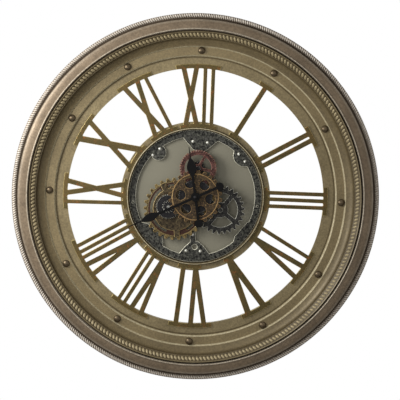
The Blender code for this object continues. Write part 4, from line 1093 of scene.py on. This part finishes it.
# Painted highlight: a pale brass on the numerals' eased edges.
brass_edge_highlight = patina_finish(
    "painted_brass_highlight", tint(176, 158, 106), tint(128, 110, 66), tint(208, 192, 142), metal=0.4, rough=0.36
)
for number in range(1, HOURS + 1):
    dressed(
        f"numeral_{number:02d}",
        f"roman_numeral_{number:02d}",
        [old_brass, brass_edge_highlight],
        edge=0.0005,
        hollow=0.0016,
        held_back=False,
    )


# Drive layer: the sleeve and its drive wheel behind the plate's lobes, and the three steel pinions that mesh
# with it, on the top post, the right post and the motor's shaft.
STEEL = tint(58, 57, 56)
STEEL_DARK = tint(30, 29, 30)
STEEL_BRIGHT = tint(166, 166, 160)
BRONZE = tint(92, 76, 48)
BRONZE_DARK = tint(52, 42, 28)
BRONZE_BRIGHT = tint(170, 148, 98)
steel = patina_finish("worn_steel", STEEL_DARK, tint(26, 25, 28), STEEL, metal=0.4, rough=0.42, patch=160.0)
# Painted highlight: the pale steel and bronze paints go on eased edges and teeth in place of the light they
# catch.
steel_edge_highlight = patina_finish("steel_edge_highlight", tint(140, 140, 134), STEEL, STEEL_BRIGHT, metal=0.4, rough=0.3)
bronze = patina_finish("old_bronze", BRONZE, BRONZE_DARK, BRONZE_BRIGHT, metal=0.6, rough=0.4, patch=90.0)
bronze_edge_highlight = patina_finish(
    "painted_bronze_highlight", BRONZE_BRIGHT, BRONZE, tint(214, 200, 156), metal=0.2, rough=0.36
)
dressed("centre_sleeve", "turning_sleeve", [bronze], body="centre_train", edge=0.0002)
dressed(
    "centre_drive_wheel",
    "centre_drive_gear",
    [bronze, bronze_edge_highlight],
    body="centre_train",
    edge=0.0002,
)
for node, name, body in (
    ("top_pinion", "top_drive_pinion", "top_train"),
    ("right_pinion", "right_drive_pinion", "right_train"),
    ("motor_pinion", "motor_drive_pinion", "motor_train"),
):
    dressed(node, name, [steel, steel_edge_highlight], body=body, edge=0.0002, outward=0.0002)
dressed("motor_shaft", "gear_motor_shaft", [steel], body="motor_train", edge=0.0002)


# Left wheel: a bronze ring gear that runs round a fixed slotted carrier. The three-tabbed keeper in front
# holds it, its rim painted pale as a highlight, and the carrier's slots show dark red brown between them, a
# dark that is partly the carrier's paint and partly painted shade.
FLANK_TURN = 0.5
TIP_BAND = 0.0002
ROOT_SHARE = 0.8
ROOT_GAP = 0.0005


def wheel_finish(name, body, patina, bloom, metal, rough, patch=120.0, share=0.8):
    """The old metal of the large wheels, which is mostly patina and has a coarse grain."""
    return patina_finish(
        name, body, patina, bloom, metal, rough, patch=patch, share=share, fleck=0.8, fleck_scale=300.0
    )


def blunter_teeth(spread, cut, lift):
    """Make a wheel's teeth blunter: turn the sides of their tips apart by spread, in degrees along the rim,
    scale the tips inwards by cut, and scale the gaps between them outwards by lift."""
    bpy.ops.mesh.select_mode(type="VERT")
    for step in ("one side", "other side", "tips", "gaps"):
        bpy.ops.mesh.select_all(action="DESELECT")
        wheel = bmesh.from_edit_mesh(bpy.context.object.data)
        middle = sum((corner.co for corner in wheel.verts), Vector()) / len(wheel.verts)
        tip = max((corner.co - middle).xz.length for corner in wheel.verts)
        for flank in wheel.edges:
            low, high = sorted(flank.verts, key=lambda corner: (corner.co - middle).xz.length)
            foot, head = (low.co - middle).xz, (high.co - middle).xz
            if flank.calc_face_angle(0.0) < FLANK_TURN or head.length < tip - TIP_BAND:
                continue
            if not tip * ROOT_SHARE < foot.length < tip - ROOT_GAP:
                continue
            before = foot.angle_signed(head) < 0.0
            if step == "gaps":
                low.select_set(True)
            elif step == "tips" or before == (step == "one side"):
                high.select_set(True)
        if step == "gaps":
            bpy.ops.transform.resize(value=(lift, 1.0, lift), center_override=middle)
        elif step == "tips":
            bpy.ops.transform.resize(value=(cut, 1.0, cut), center_override=middle)
        else:
            turn = math.radians(-spread if step == "one side" else spread)
            bpy.ops.transform.rotate(value=turn, orient_axis="Y", center_override=middle)


ring_bronze = wheel_finish(
    "gilt_bronze_ring", tint(104, 88, 54), tint(50, 40, 26), tint(160, 138, 90), metal=0.25, rough=0.46
)
# Painted shade: the carrier's very dark red brown is partly its paint and partly the shade inside the ring.
carrier_brown_and_shade = patina_finish(
    "red_brown_carrier_painted_shade",
    tint(58, 36, 28),
    tint(34, 24, 22),
    tint(84, 56, 40),
    metal=0.3,
    rough=0.5,
    patch=90.0,
)
keeper_bronze = wheel_finish(
    "olive_bronze_keeper", tint(66, 56, 39), tint(40, 32, 23), tint(104, 92, 64), metal=0.25, rough=0.46
)
dressed(
    "left_ring_wheel",
    "left_ring_gear",
    [ring_bronze, bronze_edge_highlight],
    body="left_train",
    edge=0.0004,
    hollow=0.0004,
    outward=0.0007,
    reshape=lambda: blunter_teeth(spread=0.5, cut=0.98, lift=1.0),
    held_back=False,
)
dressed("left_carrier", "slotted_carrier", [carrier_brown_and_shade, bronze_edge_highlight], edge=0.0002)
dressed(
    "left_keeper",
    "three_tab_keeper",
    [keeper_bronze, bronze_edge_highlight],
    edge=0.0006,
    held_back=False,
)


# Top wheel: a copper ring gear with five spokes, pink along its edges as a painted highlight, over a bronze
# coarse wheel with the same windows. Both turn on the top post.
copper = wheel_finish(
    "red_copper", tint(80, 50, 44), tint(36, 26, 23), tint(140, 94, 84), metal=0.15, rough=0.48
)
copper_edge_highlight = patina_finish(
    "painted_copper_highlight", tint(186, 138, 122), tint(110, 70, 62), tint(224, 190, 174), metal=0.2, rough=0.38
)
dressed(
    "top_coarse_wheel",
    "top_coarse_gear",
    [bronze, bronze_edge_highlight],
    body="top_train",
    edge=0.0003,
    hollow=0.0004,
    outward=0.0006,
    reshape=lambda: blunter_teeth(spread=0.5, cut=0.98, lift=1.0),
    held_back=False,
)
dressed(
    "top_wheel",
    "top_copper_gear",
    [copper, copper_edge_highlight],
    body="top_train",
    edge=0.0003,
    hollow=0.0004,
    outward=0.0005,
    reshape=lambda: blunter_teeth(spread=0.9, cut=1.0, lift=1.01),
    held_back=False,
)
dressed("top_post", "top_wheel_post", [steel, steel_edge_highlight], edge=0.0003)


# Right wheel: a gunmetal gear with four windows whose cut edges are painted silver as a highlight. A collar
# sets it off its pinion, and a domed post, its edges painted silver as a highlight, carries them.
gunmetal = wheel_finish(
    "dark_gunmetal",
    tint(38, 37, 34),
    tint(21, 20, 21),
    tint(92, 90, 84),
    metal=0.2,
    rough=0.44,
    patch=130.0,
    share=0.7,
)
silver_edge_highlight = patina_finish(
    "silver_edge_highlight",
    tint(204, 202, 188),
    tint(108, 106, 98),
    tint(232, 230, 216),
    metal=0.2,
    rough=0.34,
    patch=160.0,
)
dressed(
    "right_wheel",
    "right_gunmetal_gear",
    [gunmetal, silver_edge_highlight],
    body="right_train",
    edge=0.0004,
    hollow=0.0006,
    outward=0.0007,
    reshape=lambda: blunter_teeth(spread=0.6, cut=1.0, lift=1.01),
    held_back=False,
)
dressed("right_collar", "right_wheel_collar", [gunmetal], body="right_train", edge=0.0003)
dressed("right_post", "right_wheel_post", [gunmetal, silver_edge_highlight], edge=0.0004)


# Small wheel: a steel gear with a bright pinion in front of it, on a post that stands on the keeper. It
# meshes with the fine steel wheel behind the centre wheel.
# Their edges take the pale silver painted highlight, and the post is painted all over in the pale steel of
# the edge highlights.
dressed(
    "small_wheel",
    "small_steel_gear",
    [steel, silver_edge_highlight],
    body="small_train",
    edge=0.0003,
    hollow=0.0002,
    outward=0.0002,
    held_back=False,
)
dressed(
    "small_pinion",
    "bright_pinion",
    [steel, silver_edge_highlight],
    body="small_train",
    edge=0.0003,
    hollow=0.0002,
    outward=0.0003,
    held_back=False,
)
dressed("small_post", "small_wheel_post", [steel_edge_highlight], edge=0.0003)
dressed(
    "centre_fine_wheel",
    "centre_fine_gear",
    [steel, steel_edge_highlight],
    body="centre_train",
    edge=0.0003,
    outward=0.0002,
    held_back=False,
)


# Centre wheel: the foremost gear, in antique gold with teeth edged in a painted highlight and six round
# holes.
# A raised bead of gold, in the pale gold of that highlight, runs round its face just inside the teeth, and a
# hexagon nut holds the bush behind the hands.
BEAD_LINE_INNER = 0.0370
BEAD_LINE_OUTER = 0.0382
BEAD_LINE_HEIGHT = 0.0004
BEAD_LINE_SIDES = 96

wheel_front = -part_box("centre_wheel")[0].y
gold = wheel_finish(
    "antique_gold", tint(68, 55, 36), tint(36, 25, 21), tint(130, 106, 70), metal=0.1, rough=0.5
)
gold_edge_highlight = patina_finish(
    "painted_gold_highlight", tint(150, 122, 80), tint(104, 72, 48), tint(186, 160, 112), metal=0.3, rough=0.4
)
dressed(
    "centre_wheel",
    "centre_gold_gear",
    [gold, gold_edge_highlight],
    body="centre_train",
    edge=0.0004,
    hollow=0.0006,
    outward=0.0006,
    reshape=lambda: blunter_teeth(spread=0.6, cut=1.0, lift=1.045),
    held_back=False,
)
bead_line = turned_ring(
    "raised_gold_bead",
    [
        (BEAD_LINE_INNER, wheel_front),
        (BEAD_LINE_INNER, wheel_front + BEAD_LINE_HEIGHT),
        (BEAD_LINE_OUTER, wheel_front + BEAD_LINE_HEIGHT),
        (BEAD_LINE_OUTER, wheel_front),
    ],
    edge=0.0003,
    sides=BEAD_LINE_SIDES,
)
bead_line.data.materials.append(gold_edge_highlight)
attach(bead_line, "centre_train")
dressed("centre_bush", "threaded_bush", [steel], edge=0.0001)
dressed("bush_nut", "hexagon_bush_nut", [steel], edge=0.0002)


# Movement and gear motor: two black moulded cases behind the hub floor, each with a bay for its AA cell, and
# the knob that sets the hands.
case_black = plain_finish(
    "black_moulded_case", tint(26, 26, 27), rough=0.5, grain=1400.0, relief=0.2, variation=0.2
)
dressed("movement_case", "quartz_movement_case", [case_black], edge=0.0008)
dressed("motor_case", "gear_motor_case", [case_black], edge=0.0008)
dressed("setting_knob", "hand_setting_knob", [case_black], body="minute_body", edge=0.0003)
cell_wrap = plain_finish(
    "cell_wrap", tint(48, 62, 78), rough=0.34, grain=300.0, relief=0.05, variation=0.12, metal=0.2
)
dressed("movement_cell", "movement_aa_cell", [cell_wrap, zinc], edge=0.0008)
dressed("motor_cell", "motor_aa_cell", [cell_wrap, zinc], edge=0.0008)


# Hands: two spade hands stamped from steel and enamelled black, on the hour tube and the minute shaft. A
# small bright cap nut closes the minute shaft.
enamel = plain_finish(
    "black_hand_enamel", tint(10, 9, 9), rough=0.5, grain=500.0, relief=0.08, variation=0.3, shine=0.08
)
dressed("hour_hand", "spade_hour_hand", [enamel], body="hour_body", edge=0.0003)
dressed("hour_tube", "hour_hand_tube", [steel], body="hour_body", edge=0.0001)
dressed("minute_hand", "spade_minute_hand", [enamel], body="minute_body", edge=0.0003)
dressed("minute_shaft", "minute_hand_shaft", [steel], body="minute_body", edge=0.0001)
dressed("cap_nut", "bright_cap_nut", [steel], body="minute_body", edge=0.0003)
